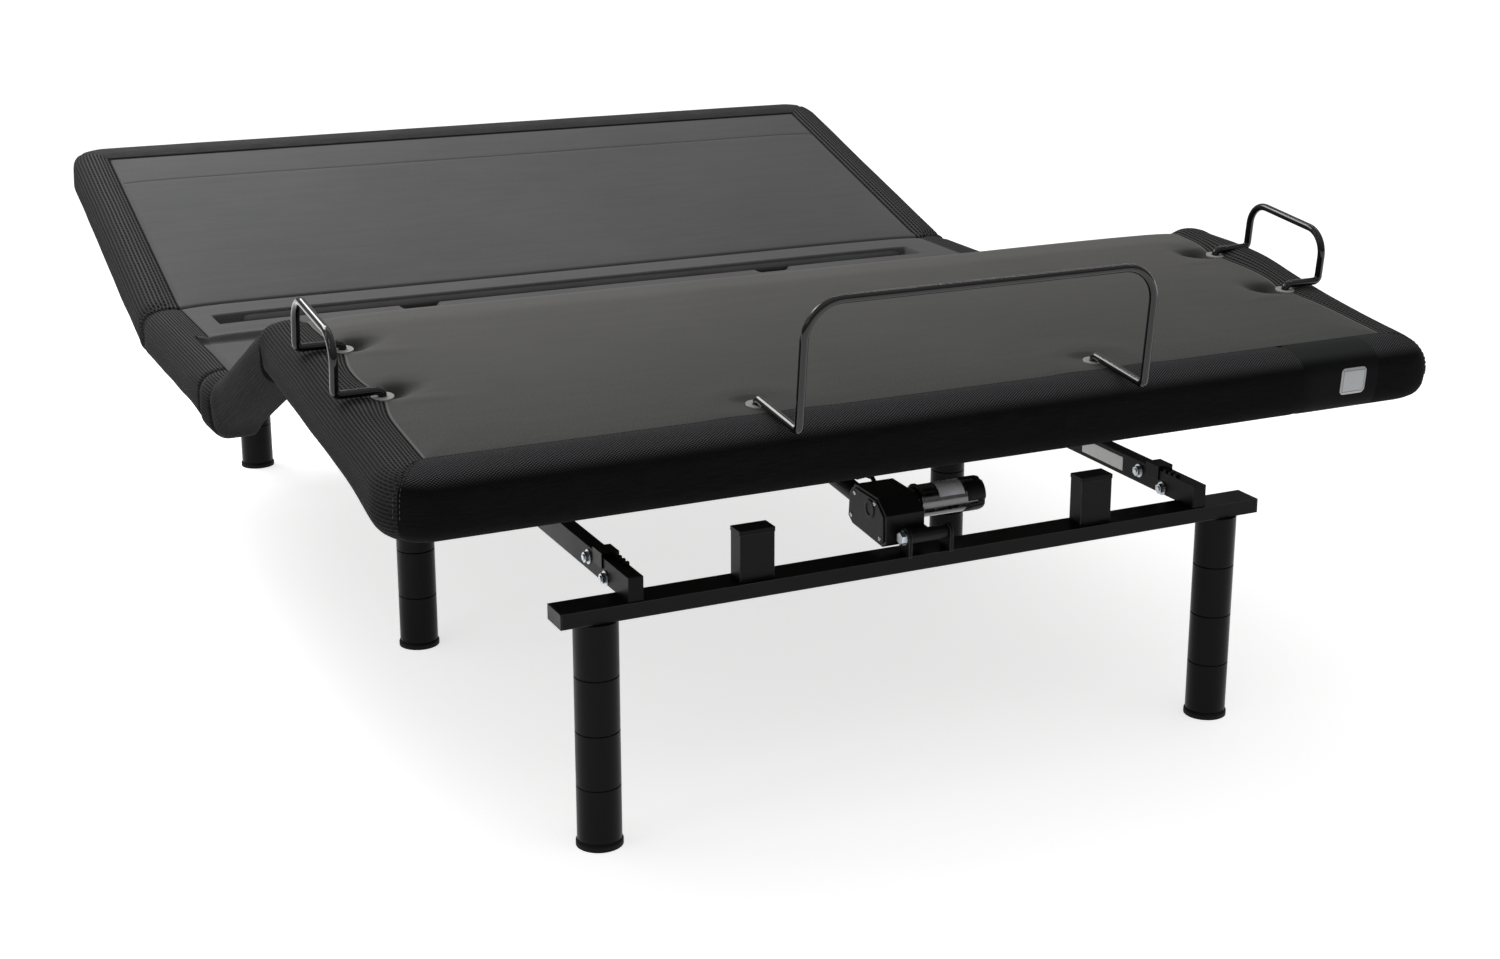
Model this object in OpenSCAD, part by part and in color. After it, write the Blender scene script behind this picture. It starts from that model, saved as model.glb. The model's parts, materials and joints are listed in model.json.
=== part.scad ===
// Adjustable bed base, queen size, with a lifting head section and a lifting
// thigh section that carries the foot section on a parallel linkage.
// X runs across the bed, +Y towards the head end, +Z up, floor at Z = 0.
// The deck is drawn part raised. Every section turns about an axis along X.

/* [Deck] */
// Overall width of the deck over its padded sides
deck_w = 1500; // [1340:10:1560]
// Thickness of the deck at its padded rim
deck_t = 75; // [70:1:90]
// Width of the padded rim around the top panel
rim_w = 62; // [50:1:70]
// Length of the head section from its hinge
head_len = 628; // [560:1:700]
// Length of the fixed seat section between hinges
seat_len = 487; // [460:1:520]
// Length of the thigh section between hinges
thigh_len = 371; // [350:1:400]
// Length of the foot section from the knee hinge
foot_len = 551; // [520:1:600]
// Height of the flat deck's top surface
deck_top_z = 437; // [420:1:450]

/* [Posture] */
// Angle of the head section above level
head_deg = 16.6; // [0:0.1:60]
// Angle of the thigh section above level
thigh_deg = 26; // [0:0.5:36]
// Fall of the foot section towards its end
foot_deg = 6; // [0:0.5:8]

/* [Boards] */
// Thickness of the foam under the top panel
foam_t = 20; // [15:1:25]
// Thickness of the plywood deck boards
board_t = 15; // [12:1:18]

/* [Base frame] */
// Height of the legs
leg_h = 301; // [150:1:320]
// Diameter of the legs
leg_d = 57; // [45:1:60]
// Number of stacked segments in each leg
leg_segments = 4; // [1:1:4]
// Distance of each leg from the centre line
leg_x = 464.5; // [420:0.5:490]
// Length of the crossbars
bar_len = 1033; // [960:1:1080]
// Width of the crossbars along the bed
bar_w = 45; // [40:1:60]
// Height of the crossbars
bar_h = 20; // [14:1:22]
// Distance from the foot crossbar to the middle crossbar
mid_bar_y = 743; // [700:1:760]
// Distance from the foot crossbar to the head crossbar
head_bar_y = 1756; // [1700:1:1780]
// Width of the side rails
rail_w = 20; // [18:1:30]
// Height of the side rails
rail_h = 32; // [28:1:34]
// Distance of each rail's middle from the centre line
rail_x = 419; // [400:1:430]
// Wall thickness of the steel tubes
wall = 1.5; // [1.2:0.1:2]
// Distance of each rest post from the centre line
post_x = 252.5; // [220:0.5:280]
// Height of the rest posts above the foot crossbar
post_h = 67; // [60:0.5:67]

/* [Lift mechanism] */
// Distance from the thigh hinge back to the lift arm's axis
arm_back = 110; // [105:1:115]
// Height of the lift arm's axis above the floor
arm_z = 338; // [336:0.5:340]
// Length of the lift arms from axis to roller
arm_len = 220; // [215:1:225]
// Angle of the lift arms above level
arm_deg = 38.7; // [5:0.1:40]
// Length of the lift arm's drive lever
lever_len = 70; // [66:1:74]
// Angle of the drive lever above level
lever_deg = 70.4; // [36:0.1:72]
// Diameter of the lift rollers
roller_d = 40; // [36:1:40]
// Length of the head section's drive lever below its hinge
head_lever_len = 85; // [80:1:88]
// Lean of the head section's drive lever towards the foot
head_lever_deg = 12; // [0:1:30]

/* [Retainer bars] */
// Diameter of the bent rods
rod_d = 11; // [8:0.5:14]
// Height of the foot retainer above the deck
foot_bar_rise = 170; // [120:1:180]
// Half the width of the foot retainer
foot_bar_x = 245; // [200:1:300]
// Sideways offset of the foot retainer's middle
foot_bar_shift = -13; // [-20:1:20]
// Height of the side retainers above the deck
side_bar_rise = 81; // [70:1:110]

/* [Hidden] */
$fn = 48;

gap = 0.3;                      // clearance between soft pieces
running = 0.05;                 // radial clearance of a pin in its bore
seam_x = deck_w / 2 - rim_w;    // top panel edge from the centre line
rim_low = deck_t - foam_t;      // rim depth below the board's top
rim_top_r = 26;
rim_low_r = 22;
board_lap = 47;                 // how far the board reaches into the rim
axis_z = deck_top_z - foam_t;   // hinge axes lie at the board's top
tube_h = 30;
tube_low = -board_t - tube_h;   // underside of the deck's steel tubes
strap_t = 6;
frame_x = 360;                  // side tubes of the moving sections
seat_tube_x = 419;
tube_w = 30;
ear_r = 12;
pin_r = 5;
head_relief = 31;               // half the largest head fold, with room
thigh_relief = 19;
knee_relief = 23.5;

// Places along the bed, measured from the foot crossbar.
thigh_axis = 771.4;
head_axis = thigh_axis + seat_len;
knee_axis = thigh_axis - thigh_len * cos(thigh_deg);
knee_z = axis_z + thigh_len * sin(thigh_deg);
arm_axis = thigh_axis - arm_back;

// Retainer bars, in the foot section's own frame.
bar_clear = 9.5;                // rod centre above the deck
rod_r = rod_d / 2;
elbow_r = 7.5;
foot_bar_u = 461;               // foot grommets from the knee hinge
foot_elbow_u = 576;
foot_corner_r = 48;
side_bar_x = 675.5;
side_elbow_x = 734;
side_bar_u = [121, 293];
side_corner_r = 34;

// The part is centred along Y over everything it carries.
head_reach = head_axis + (head_len - rim_low_r) * cos(head_deg)
  + (rim_low - rim_low_r) * sin(head_deg) + rim_low_r;
foot_reach = knee_axis - foot_elbow_u * cos(foot_deg)
  - (foam_t + foot_bar_rise) * sin(foot_deg) - rod_r;
bed_y = -(head_reach + foot_reach) / 2;

// Base frame heights.
bar_top = leg_h + bar_h;
rail_top = bar_top + rail_h;
rail_front = -18.5;
rail_back = head_bar_y + 25;
cap_t = 1.5;
glide_h = 9;
glide_r = leg_d / 2 + 1.7;

// Actuators: pivots, lengths from pivot to rod eye, and slopes.
act_z = bar_top + 24;
leg_act = [-32, -14.5];
head_act = [150, mid_bar_y + 15];
leg_tip = [arm_axis - lever_len * cos(lever_deg), arm_z + lever_len * sin(lever_deg)];
head_tip = [head_axis - head_lever_len * sin(head_lever_deg),
            axis_z - head_lever_len * cos(head_lever_deg)];
leg_act_len = norm([leg_tip[0] - leg_act[1], leg_tip[1] - act_z]);
head_act_len = norm([head_tip[0] - head_act[1], head_tip[1] - act_z]);
leg_act_deg = atan2(leg_tip[1] - act_z, leg_tip[0] - leg_act[1]);
head_act_deg = atan2(head_tip[1] - act_z, head_tip[0] - head_act[1]);
leg_eye = [18, 12];             // outer and bore radius of the rod eyes
head_eye = [22, 15];
tube_r = 13;
piston_r = 10;
motor_r = 22;
gearbox_y = [16, 122];          // front and back of the gearbox from its pivot
pivot_x = 22;                   // rear pivot's middle from the gearbox's middle
pivot_w = 54;
lead_r = 3;
lead_route = [[6, 112, 27], [8, 128, 32], [6, 142, 30], [2, 158, 21], [0, 200, 17.5], [0, 262, 17.5]];

// Lift arms and the channel across the seat section.
arm_out = 312;                  // inner face of each lift arm
arm_w = 25;
channel = [346, 404];
channel_x = 640;

// Foot links: a second bar beside the thigh that holds the foot section's slope.
link_base = [564.6, axis_z - 39.4];
link_pin = [150, 30];           // along the foot section and below its axis
link_end = [knee_axis - link_pin[0] * cos(foot_deg) + link_pin[1] * sin(foot_deg),
            knee_z - link_pin[0] * sin(foot_deg) - link_pin[1] * cos(foot_deg)];
link_x = 396;                   // inner face of each link
link_t = 8;
link_len = norm([link_base[0] - link_end[0], link_end[1] - link_base[1]]);
link_deg = atan2(link_end[1] - link_base[1], link_base[0] - link_end[0]);

// ---------------------------------------------------------------- frames

module bed() translate([0, bed_y, 0]) children();
module head_frame() bed() translate([0, head_axis, axis_z]) rotate([head_deg, 0, 0]) children();
module seat_frame() bed() translate([0, thigh_axis, axis_z]) children();
// The thigh and foot sections are drawn towards +Y and turned about.
module thigh_frame() bed() translate([0, thigh_axis, axis_z]) rotate([-thigh_deg, 0, 0])
  mirror([0, 1, 0]) children();
module foot_frame() bed() translate([0, knee_axis, knee_z]) rotate([foot_deg, 0, 0])
  mirror([0, 1, 0]) children();

module both_sides() {
  children();
  mirror([1, 0, 0]) children();
}

// ---------------------------------------------------------------- shared shapes

// A box given by its low and high corners.
module span(low, high) translate(low) cube(high - low);

// A round bar along X between two places.
module bar_x(x0, x1, r) translate([x0, 0, 0]) rotate([0, 90, 0]) cylinder(r = r, h = x1 - x0);

// A rectangular steel tube along X or Y, open at both ends.
module tube_x(x0, x1, size) difference() {
  span([x0, -size[0] / 2, -size[1] / 2], [x1, size[0] / 2, size[1] / 2]);
  span([x0 - 1, wall - size[0] / 2, wall - size[1] / 2],
       [x1 + 1, size[0] / 2 - wall, size[1] / 2 - wall]);
}
module tube_y(y0, y1, size) rotate([0, 0, 90]) tube_x(y0, y1, size);

// A flat bar with round ends and a bore at each end, along +Y from the origin.
module link_bar(len, r, x0, x1, near_r, far_r) difference() {
  translate([x0, 0, 0]) rotate([90, 0, 90]) linear_extrude(x1 - x0) {
    circle(r);
    translate([len, 0]) circle(r);
    translate([0, -r]) square([len, 2 * r]);
  }
  bar_x(x0 - 1, x1 + 1, near_r);
  translate([0, len, 0]) bar_x(x0 - 1, x1 + 1, far_r);
}

// A hinge ear: a bored disc on the axis with a foot that reaches the tubes.
module ear(x0, x1) difference() {
  translate([x0, 0, 0]) rotate([90, 0, 90]) linear_extrude(x1 - x0) {
    circle(ear_r);
    polygon([[2, ear_r - 0.4], [26, -board_t], [58, -board_t], [58, tube_low + 2],
             [28, tube_low + 2], [-8, -9]]);
  }
  bar_x(x0 - 1, x1 + 1, pin_r + running);
}

// An ear that stands off its tube on a spacer.
module ear_on_spacer() {
  ear(frame_x + 25, frame_x + 33);
  span([frame_x + 15, 30, tube_low + 2], [frame_x + 25, 58, -board_t]);
}

// The outer end of a hexagon bolt along -X: washer, head and a short tip.
module bolt_end(d, stand) {
  bar_x(-1.6, 0, d * 1.2);
  bar_x(-1.6 - stand, -1.5, d * 0.85);
  translate([-1.6 - stand, 0, 0]) rotate([0, -90, 0]) cylinder(r = d * 0.92, h = d * 0.65, $fn = 6);
  bar_x(-1.6 - stand - d * 0.85, 0, d / 2);
}

// ---------------------------------------------------------------- deck shapes

// Room for the neighbouring section when the joint is folded as far as it goes.
module fold_relief(above, below) translate([-deck_w / 2 - 20, 0, 0]) rotate([90, 0, 90])
  linear_extrude(deck_w + 40) polygon([
    [-90, 60], [60 * tan(above) + gap, 60], [gap, 0], [90 * tan(below) + gap, -90], [-90, -90]
  ]);

// Openings in board and foam around a pair of hinge ears.
module ear_room() both_sides() span([frame_x + 3, -20, -board_t - 1], [frame_x + 55, 32, ear_r + 2]);

// Cross-section of the foam rim, which wraps the edge of the board.
module rim_profile() difference() {
  union() {
    translate([0, -rim_low]) square([rim_w - rim_top_r, deck_t]);
    translate([0, -rim_low]) square([rim_w - rim_low_r, deck_t - rim_top_r]);
    translate([0, rim_low_r - rim_low]) square([rim_w, deck_t - rim_top_r - rim_low_r]);
    translate([rim_w - rim_top_r, foam_t - rim_top_r]) circle(rim_top_r);
    translate([rim_w - rim_low_r, rim_low_r - rim_low]) circle(rim_low_r);
  }
  translate([-1, -board_t - gap]) square([board_lap + 1 + gap, board_t + 2 * gap]);
}
module side_rim(y0, y1) both_sides() translate([seam_x, y1, 0]) rotate([90, 0, 0])
  linear_extrude(y1 - y0) rim_profile();
module end_rim(y) {
  translate([-seam_x, y, 0]) rotate([90, 0, 90]) linear_extrude(2 * seam_x) rim_profile();
  both_sides() translate([seam_x, y, 0]) rotate_extrude(angle = 90) rim_profile();
}

// The board of an end section: square at the hinge, rounded at the free end.
module end_board(len) translate([0, 0, -board_t]) linear_extrude(board_t) {
  translate([-seam_x - board_lap, 0]) square([2 * (seam_x + board_lap), len - rim_w]);
  translate([-seam_x, 0]) square([2 * seam_x, len - rim_w + board_lap]);
  for (x = [-seam_x, seam_x]) translate([x, len - rim_w]) circle(board_lap);
}
module plain_board(len) span([-seam_x - board_lap, 0, -board_t], [seam_x + board_lap, len, 0]);
module top_foam(y0, y1) span([gap - seam_x, y0, 0], [seam_x - gap, y1, foam_t]);
module far_end(len) translate([0, len, 0]) mirror([0, 1, 0]) children();

// Places of the six retainer grommets in the foot section.
module at_grommets() {
  for (side = [-1, 1]) translate([foot_bar_shift + side * foot_bar_x, foot_bar_u, 0]) children();
  for (x = [-side_bar_x, side_bar_x], y = side_bar_u) translate([x, y, 0]) children();
}

// ---------------------------------------------------------------- base frame

module crossbar(y) bed() translate([0, y, leg_h + bar_h / 2]) difference() {
  tube_x(-bar_len / 2, bar_len / 2, [bar_w, bar_h]);
  for (x = [-leg_x, leg_x]) translate([x, 0, -bar_h]) cylinder(r = pin_r + running, h = bar_h);
}
module foot_crossbar() color("#161616") crossbar(0);
module middle_crossbar() color("#161616") crossbar(mid_bar_y);
module head_crossbar() color("#161616") crossbar(head_bar_y);

module tube_caps() color("#101010") bed() {
  for (y = [0, mid_bar_y, head_bar_y], s = [0, 1]) mirror([s, 0, 0])
    span([bar_len / 2, y - bar_w / 2, leg_h], [bar_len / 2 + cap_t, y + bar_w / 2, bar_top]);
  for (x = [-rail_x, rail_x], y = [rail_front - cap_t, rail_back])
    span([x - rail_w / 2, y, bar_top], [x + rail_w / 2, y + cap_t, rail_top]);
}

module rail(x) bed() translate([x, 0, (bar_top + rail_top) / 2])
  tube_y(rail_front, rail_back, [rail_w, rail_h]);
module left_rail() color("#1b1b1b") rail(-rail_x);
module right_rail() color("#1b1b1b") rail(rail_x);

// Plastic saddles over the rails near the foot, with three ribs in front of each.
module rail_clips() color("#0c0c0c") bed() both_sides() {
  difference() {
    span([rail_x - rail_w / 2 - 2, 62, rail_top - 14], [rail_x + rail_w / 2 + 2, 92, rail_top + 6]);
    span([rail_x - rail_w / 2, 61, rail_top - 20], [rail_x + rail_w / 2, 93, rail_top]);
  }
  for (y = [24, 36, 48]) span([rail_x - rail_w / 2, y, rail_top], [rail_x - 2, y + 5, rail_top + 4]);
}

// Bolts on both faces of each rail: place along the rail, height from its middle, stand-off.
module rail_bolts() color("#b9c0c6") for (side = [-1, 1], face = [-1, 1],
    p = [[307, -6, 8], [111, 2, 0], [54, -8, 0]])
  bed() translate([side * rail_x + face * rail_w / 2, p[0], rail_top - rail_h / 2 + p[1]])
    mirror([face < 0 ? 0 : 1, 0, 0]) bolt_end(8, p[2]);

module rail_label() color("#c9c9c6") bed()
  span([rail_x - rail_w / 2 - 0.4, 152, bar_top + 6], [rail_x - rail_w / 2, 257, rail_top - 6]);

module rest_posts() color("#1a1a1a") bed() both_sides()
  translate([post_x, 0, bar_top]) difference() {
    span([-24, -13.5, 0], [24, 13.5, post_h - 6]);
    span([-22.5, -12, -1], [22.5, 12, post_h]);
  }
module post_caps() color("#0e0e0e") bed() both_sides()
  translate([post_x, 0, bar_top + post_h - 6]) {
    span([-24.6, -14, 0], [24.6, 14, 6]);
    span([-22.2, -11.7, -14], [22.2, 11.7, 0]);
  }

// One leg: stacked hollow segments with a fine gap and bevelled rims between them.
module leg(x, y) {
  seg = (leg_h - glide_h) / leg_segments;
  r = leg_d / 2;
  bevel = 0.9;
  end_t = 4;
  for (i = [0 : leg_segments - 1]) bed() translate([x, y, glide_h + i * seg]) difference() {
    union() {
      cylinder(r1 = r - bevel, r2 = r, h = bevel, $fn = 72);
      translate([0, 0, bevel]) cylinder(r = r, h = seg - 2 * bevel - gap, $fn = 72);
      translate([0, 0, seg - bevel - gap]) cylinder(r1 = r, r2 = r - bevel, h = bevel, $fn = 72);
    }
    translate([0, 0, end_t]) cylinder(r = r - 3, h = seg - 2 * end_t - gap);
    translate([0, 0, -1]) cylinder(r = pin_r + running, h = seg + 2);
  }
}
module leg_pair(y) color("#141414") for (x = [-leg_x, leg_x]) leg(x, y);
module foot_legs() leg_pair(0);
module middle_legs() leg_pair(mid_bar_y);
module head_legs() leg_pair(head_bar_y);

module at_legs() bed() for (x = [-leg_x, leg_x], y = [0, mid_bar_y, head_bar_y])
  translate([x, y, 0]) children();
module leg_glides() color("#0b0b0b") at_legs() difference() {
  union() {
    cylinder(r = glide_r, h = glide_h - 3, $fn = 72);
    translate([0, 0, glide_h - 3]) cylinder(r1 = glide_r, r2 = leg_d / 2, h = 3, $fn = 72);
  }
  translate([0, 0, 3]) cylinder(r = pin_r + running, h = glide_h);
}
module leg_studs() color("#a8adb2") at_legs() {
  translate([0, 0, 3]) cylinder(r = pin_r, h = leg_h + bar_h - 6);
  translate([0, 0, leg_h + wall]) cylinder(r = 9, h = 7, $fn = 6);
}

module standoffs() color("#1c1c1c") seat_frame() both_sides() for (y = [50, 400])
  span([seat_tube_x - 9, y, rail_top - axis_z], [seat_tube_x + 9, y + 40, tube_low]);

module arm_bearings() color("#222222") bed() both_sides() translate([0, arm_axis, arm_z]) difference() {
  span([rail_x - rail_w / 2 - 12, -22, bar_top - arm_z], [rail_x - rail_w / 2, 22, 17]);
  bar_x(rail_x - rail_w / 2 - 13, rail_x - rail_w / 2 + 1, piston_r + running);
}

// Brackets on the rails that carry the foot links' lower pins.
module link_brackets() color("#1d1d1d") bed() both_sides() translate([0, link_base[0], link_base[1]]) {
  inner_x = rail_x - rail_w / 2;
  low = rail_top - link_base[1];
  span([inner_x, -20, low], [rail_x + rail_w / 2, 20, low + 6]);
  span([inner_x, -14, low], [inner_x + 6, 14, 13]);
  bar_x(link_x - 1, inner_x + 1, pin_r);
  bar_x(link_x - 5, link_x - 1, pin_r + 3);
}

// Bolts through the head and thigh hinges.
module hinge_bolts(x0, x1) both_sides() translate([x0, 0, 0]) {
  bar_x(0, x1 - x0, pin_r);
  rotate([0, -90, 0]) cylinder(r = 8, h = 5, $fn = 6);
  translate([x1 - x0, 0, 0]) rotate([0, 90, 0]) cylinder(r = 8, h = 5, $fn = 6);
}
module hinge_pins() color("#a8adb2") seat_frame() for (y = [0, seat_len]) translate([0, y, 0])
  hinge_bolts(frame_x + 24.5, seat_tube_x - tube_w / 2);

// Two-plate clevises on the crossbars for the actuators' rear eyes.
module clevis(x, y) for (side = [-1, 1]) bed()
  translate([x + pivot_x + side * (pivot_w / 2 + 3.5), y, act_z]) difference() {
    union() {
      bar_x(-2.5, 2.5, 13);
      span([-2.5, -13, bar_top - act_z], [2.5, 13, 0]);
    }
    bar_x(-3, 3, pin_r + running);
  }
module actuator_clevises() color("#1d1d1d") {
  clevis(leg_act[0], leg_act[1]);
  clevis(head_act[0], head_act[1]);
}
module clevis_pins() color("#b9c0c6") for (p = [leg_act, head_act]) bed()
  translate([p[0] + pivot_x, p[1], act_z]) {
    half = pivot_w / 2 + 6;
    bar_x(-half, half, pin_r);
    bar_x(-half - 1.8, -half, 10);
    translate([-half - 1.8, 0, 0]) rotate([0, -90, 0]) cylinder(r = 8.5, h = 5.5, $fn = 6);
    bar_x(half, half + 3, 7.5);
  }

module control_box() color("#18191a") seat_frame() difference() {
  span([-310, 240, -board_t - 42], [-150, 390, -board_t]);
  span([-250, 382, -board_t - 32], [-210, 391, -board_t - 10]);
}
module power_inlet() color("#0d0d0d") seat_frame() difference() {
  span([-249.5, 382, -board_t - 31.5], [-210.5, 392, -board_t - 10.5]);
  span([-244, 386, -board_t - 27], [-216, 393, -board_t - 15]);
}

// ---------------------------------------------------------------- seat section

module seat_side_tubes() color("#1a1a1a") seat_frame() both_sides() {
  translate([seat_tube_x, 0, tube_low + tube_h / 2]) tube_y(26, seat_len - 26, [tube_w, tube_h]);
  ear(seat_tube_x - tube_w / 2 - 8, seat_tube_x - tube_w / 2);
  far_end(seat_len) ear(seat_tube_x - tube_w / 2 - 8, seat_tube_x - tube_w / 2);
}
module seat_cross_tubes() color("#1a1a1a") seat_frame() for (y = [185, 394])
  translate([0, y + 15, tube_low + tube_h / 2])
    tube_x(-seat_tube_x + tube_w / 2, seat_tube_x - tube_w / 2, [tube_w, tube_h]);
module seat_cuts() {
  fold_relief(thigh_relief, 0);
  far_end(seat_len) fold_relief(head_relief, 0);
  ear_room();
  far_end(seat_len) ear_room();
}
module seat_board() color("#2a261f") seat_frame() difference() {
  plain_board(seat_len);
  seat_cuts();
}
// The seat foam has a cross channel that a padded bar lies in.
module seat_foam() color("#3b3b3c") seat_frame() difference() {
  top_foam(0, seat_len);
  span([-channel_x, channel[0], -1], [channel_x, channel[1], foam_t + 1]);
  seat_cuts();
}
module seat_rim_foam() color("#2b2b2c") seat_frame() difference() {
  side_rim(0, seat_len);
  seat_cuts();
}
module seat_channel_bar() color("#1f1f20") seat_frame()
  span([-channel_x + 12, channel[0] + 10, 0.2], [channel_x - 12, channel[1] - 10, foam_t - 6]);

// ---------------------------------------------------------------- head section

module head_side_tubes() color("#1a1a1a") head_frame() both_sides() {
  translate([frame_x, 0, tube_low + tube_h / 2]) tube_y(26, head_len - 90, [tube_w, tube_h]);
  ear_on_spacer();
}
// Cross tubes, and the drive lever that hangs from the one beside the hinge.
module head_cross_tubes() color("#1a1a1a") head_frame() {
  for (y = [60, 330, 520]) translate([0, y, tube_low + tube_h / 2])
    tube_x(-frame_x + tube_w / 2, frame_x - tube_w / 2, [tube_w, tube_h]);
  lever_root = [60, tube_low + 4];
  lean = head_lever_deg + head_deg;
  tip = [-head_lever_len * sin(lean), -head_lever_len * cos(lean)];
  reach = norm(tip - lever_root);
  turn = atan2(tip[1] - lever_root[1], tip[0] - lever_root[0]);
  for (x = [-16, 10]) translate([head_act[0] + x, lever_root[0], lever_root[1]]) rotate([turn, 0, 0])
    link_bar(reach, 12, 0, 6, pin_r, pin_r - 0.5);
  translate([head_act[0], tip[0], tip[1]]) bar_x(-19, 19, pin_r);
}
module head_board() color("#2a261f") head_frame() difference() {
  end_board(head_len);
  fold_relief(head_relief, 0);
  ear_room();
}
module head_foam() color("#3a3a3b") head_frame() difference() {
  top_foam(0, head_len - rim_w - gap);
  fold_relief(head_relief, 0);
  ear_room();
}
module head_rim_foam() color("#29292a") head_frame() {
  difference() {
    side_rim(0, head_len - rim_w - gap);
    fold_relief(head_relief, 0);
  }
  end_rim(head_len - rim_w);
}

// ---------------------------------------------------------------- thigh section

module thigh_side_tubes() color("#1a1a1a") thigh_frame() both_sides() {
  translate([frame_x, 0, tube_low + tube_h / 2]) tube_y(26, thigh_len - 26, [tube_w, tube_h]);
  ear_on_spacer();
  far_end(thigh_len) ear(frame_x + tube_w / 2, frame_x + tube_w / 2 + 8);
}
module thigh_cross_straps() color("#1a1a1a") thigh_frame() for (y = [62, 250])
  span([-frame_x + tube_w / 2, y, -board_t - strap_t], [frame_x - tube_w / 2, y + 40, -board_t]);
module thigh_cuts() {
  fold_relief(thigh_relief, 0);
  far_end(thigh_len) fold_relief(0, knee_relief);
  ear_room();
  far_end(thigh_len) ear_room();
}
module thigh_board() color("#2a261f") thigh_frame() difference() {
  plain_board(thigh_len);
  thigh_cuts();
}
module thigh_foam() color("#3d3d3c") thigh_frame() difference() {
  top_foam(0, thigh_len);
  thigh_cuts();
}
module thigh_rim_foam() color("#2b2b2c") thigh_frame() difference() {
  side_rim(0, thigh_len);
  thigh_cuts();
}
module knee_pins() color("#a8adb2") thigh_frame() translate([0, thigh_len, 0])
  hinge_bolts(frame_x + tube_w / 2 - 0.5, frame_x + 33.5);

// ---------------------------------------------------------------- foot section

module foot_side_tubes() color("#1a1a1a") foot_frame() both_sides() {
  translate([frame_x, 0, tube_low + tube_h / 2]) tube_y(26, foot_len - 100, [tube_w, tube_h]);
  ear_on_spacer();
  translate([0, link_pin[0], -link_pin[1]]) {
    bar_x(frame_x + tube_w / 2, frame_x + 46, pin_r);
    bar_x(frame_x + 46, frame_x + 48.5, pin_r + 3.5);
  }
}
// Flat cross straps; the thick one comes down on the rest posts.
module foot_cross_straps() color("#1a1a1a") foot_frame() {
  span([-frame_x + tube_w / 2, 60, -board_t - strap_t], [frame_x - tube_w / 2, 100, -board_t]);
  span([-frame_x + tube_w / 2, 378, -board_t - strap_t - 7], [frame_x - tube_w / 2, 424, -board_t]);
}
module foot_cuts() {
  fold_relief(0, knee_relief);
  ear_room();
}
module foot_board() color("#2a261f") foot_frame() difference() {
  end_board(foot_len);
  foot_cuts();
  at_grommets() translate([0, 0, -board_t - 1]) cylinder(r = rod_r + 0.3, h = board_t + 2);
}
module foot_foam() color("#40403d") foot_frame() difference() {
  top_foam(0, foot_len - rim_w - gap);
  foot_cuts();
  at_grommets() translate([0, 0, -1]) cylinder(r = 8, h = foam_t + 2);
}
module foot_rim_foam() color("#232324") foot_frame() {
  difference() {
    side_rim(0, foot_len - rim_w - gap);
    foot_cuts();
  }
  end_rim(foot_len - rim_w);
}
module grommets() color("#bdbdb8") foot_frame() at_grommets() difference() {
  union() {
    translate([0, 0, foam_t]) cylinder(r = 14, h = 2);
    translate([0, 0, 0.5]) cylinder(r = 7.7, h = foam_t);
  }
  cylinder(r = rod_r + 0.3, h = foam_t + 5);
}

// A quarter bend of rod: from +Z at the origin round to +Y.
module bend(r) rotate([90, 0, 90]) translate([r, 0, 0]) rotate([0, 0, 90])
  rotate_extrude(angle = 90) translate([r, 0]) circle(rod_r, $fn = 24);
module rod_z(z0, z1) translate([0, 0, z0]) cylinder(r = rod_r, h = z1 - z0, $fn = 24);

// Half of a retainer: up through the deck, out to the elbow, up, and in along the top bar.
// The stub stands at the origin, the arm runs along +Y and the top bar along +X.
module retainer_half(arm, rise, corner, half_top) {
  low = -board_t - 10;
  flat_z = foam_t + bar_clear;
  rod_z(low, flat_z - elbow_r);
  translate([0, 0, low]) cylinder(r = 10, h = 9);
  translate([0, 0, flat_z - elbow_r]) bend(elbow_r);
  translate([0, elbow_r, flat_z]) rotate([-90, 0, 0]) rod_z(0, arm - 2 * elbow_r);
  translate([0, arm - elbow_r, flat_z]) rotate([-90, 0, 0]) rotate([0, 0, 180]) bend(elbow_r);
  translate([0, arm, 0]) rod_z(flat_z + elbow_r, foam_t + rise - corner);
  translate([0, arm, foam_t + rise - corner]) rotate([0, 0, -90]) bend(corner);
  translate([corner, arm, foam_t + rise]) rotate([0, 90, 0]) rod_z(0, half_top - corner);
}
module foot_retainer() color("#0a0a0a") foot_frame() translate([foot_bar_shift, 0, 0]) both_sides()
  translate([-foot_bar_x, foot_bar_u, 0])
    retainer_half(foot_elbow_u - foot_bar_u, foot_bar_rise, foot_corner_r, foot_bar_x);
module side_retainers() color("#0a0a0a") foot_frame() both_sides() {
  arm = side_elbow_x - side_bar_x;
  half = (side_bar_u[1] - side_bar_u[0]) / 2;
  translate([side_bar_x, side_bar_u[0], 0]) rotate([0, 0, -90]) mirror([1, 0, 0])
    retainer_half(arm, side_bar_rise, side_corner_r, half);
  translate([side_bar_x, side_bar_u[1], 0]) rotate([0, 0, -90])
    retainer_half(arm, side_bar_rise, side_corner_r, half);
}

// ---------------------------------------------------------------- lift mechanism

module arm_frame(deg) bed() translate([0, arm_axis, arm_z]) rotate([-deg, 0, 0])
  mirror([0, 1, 0]) children();

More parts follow.
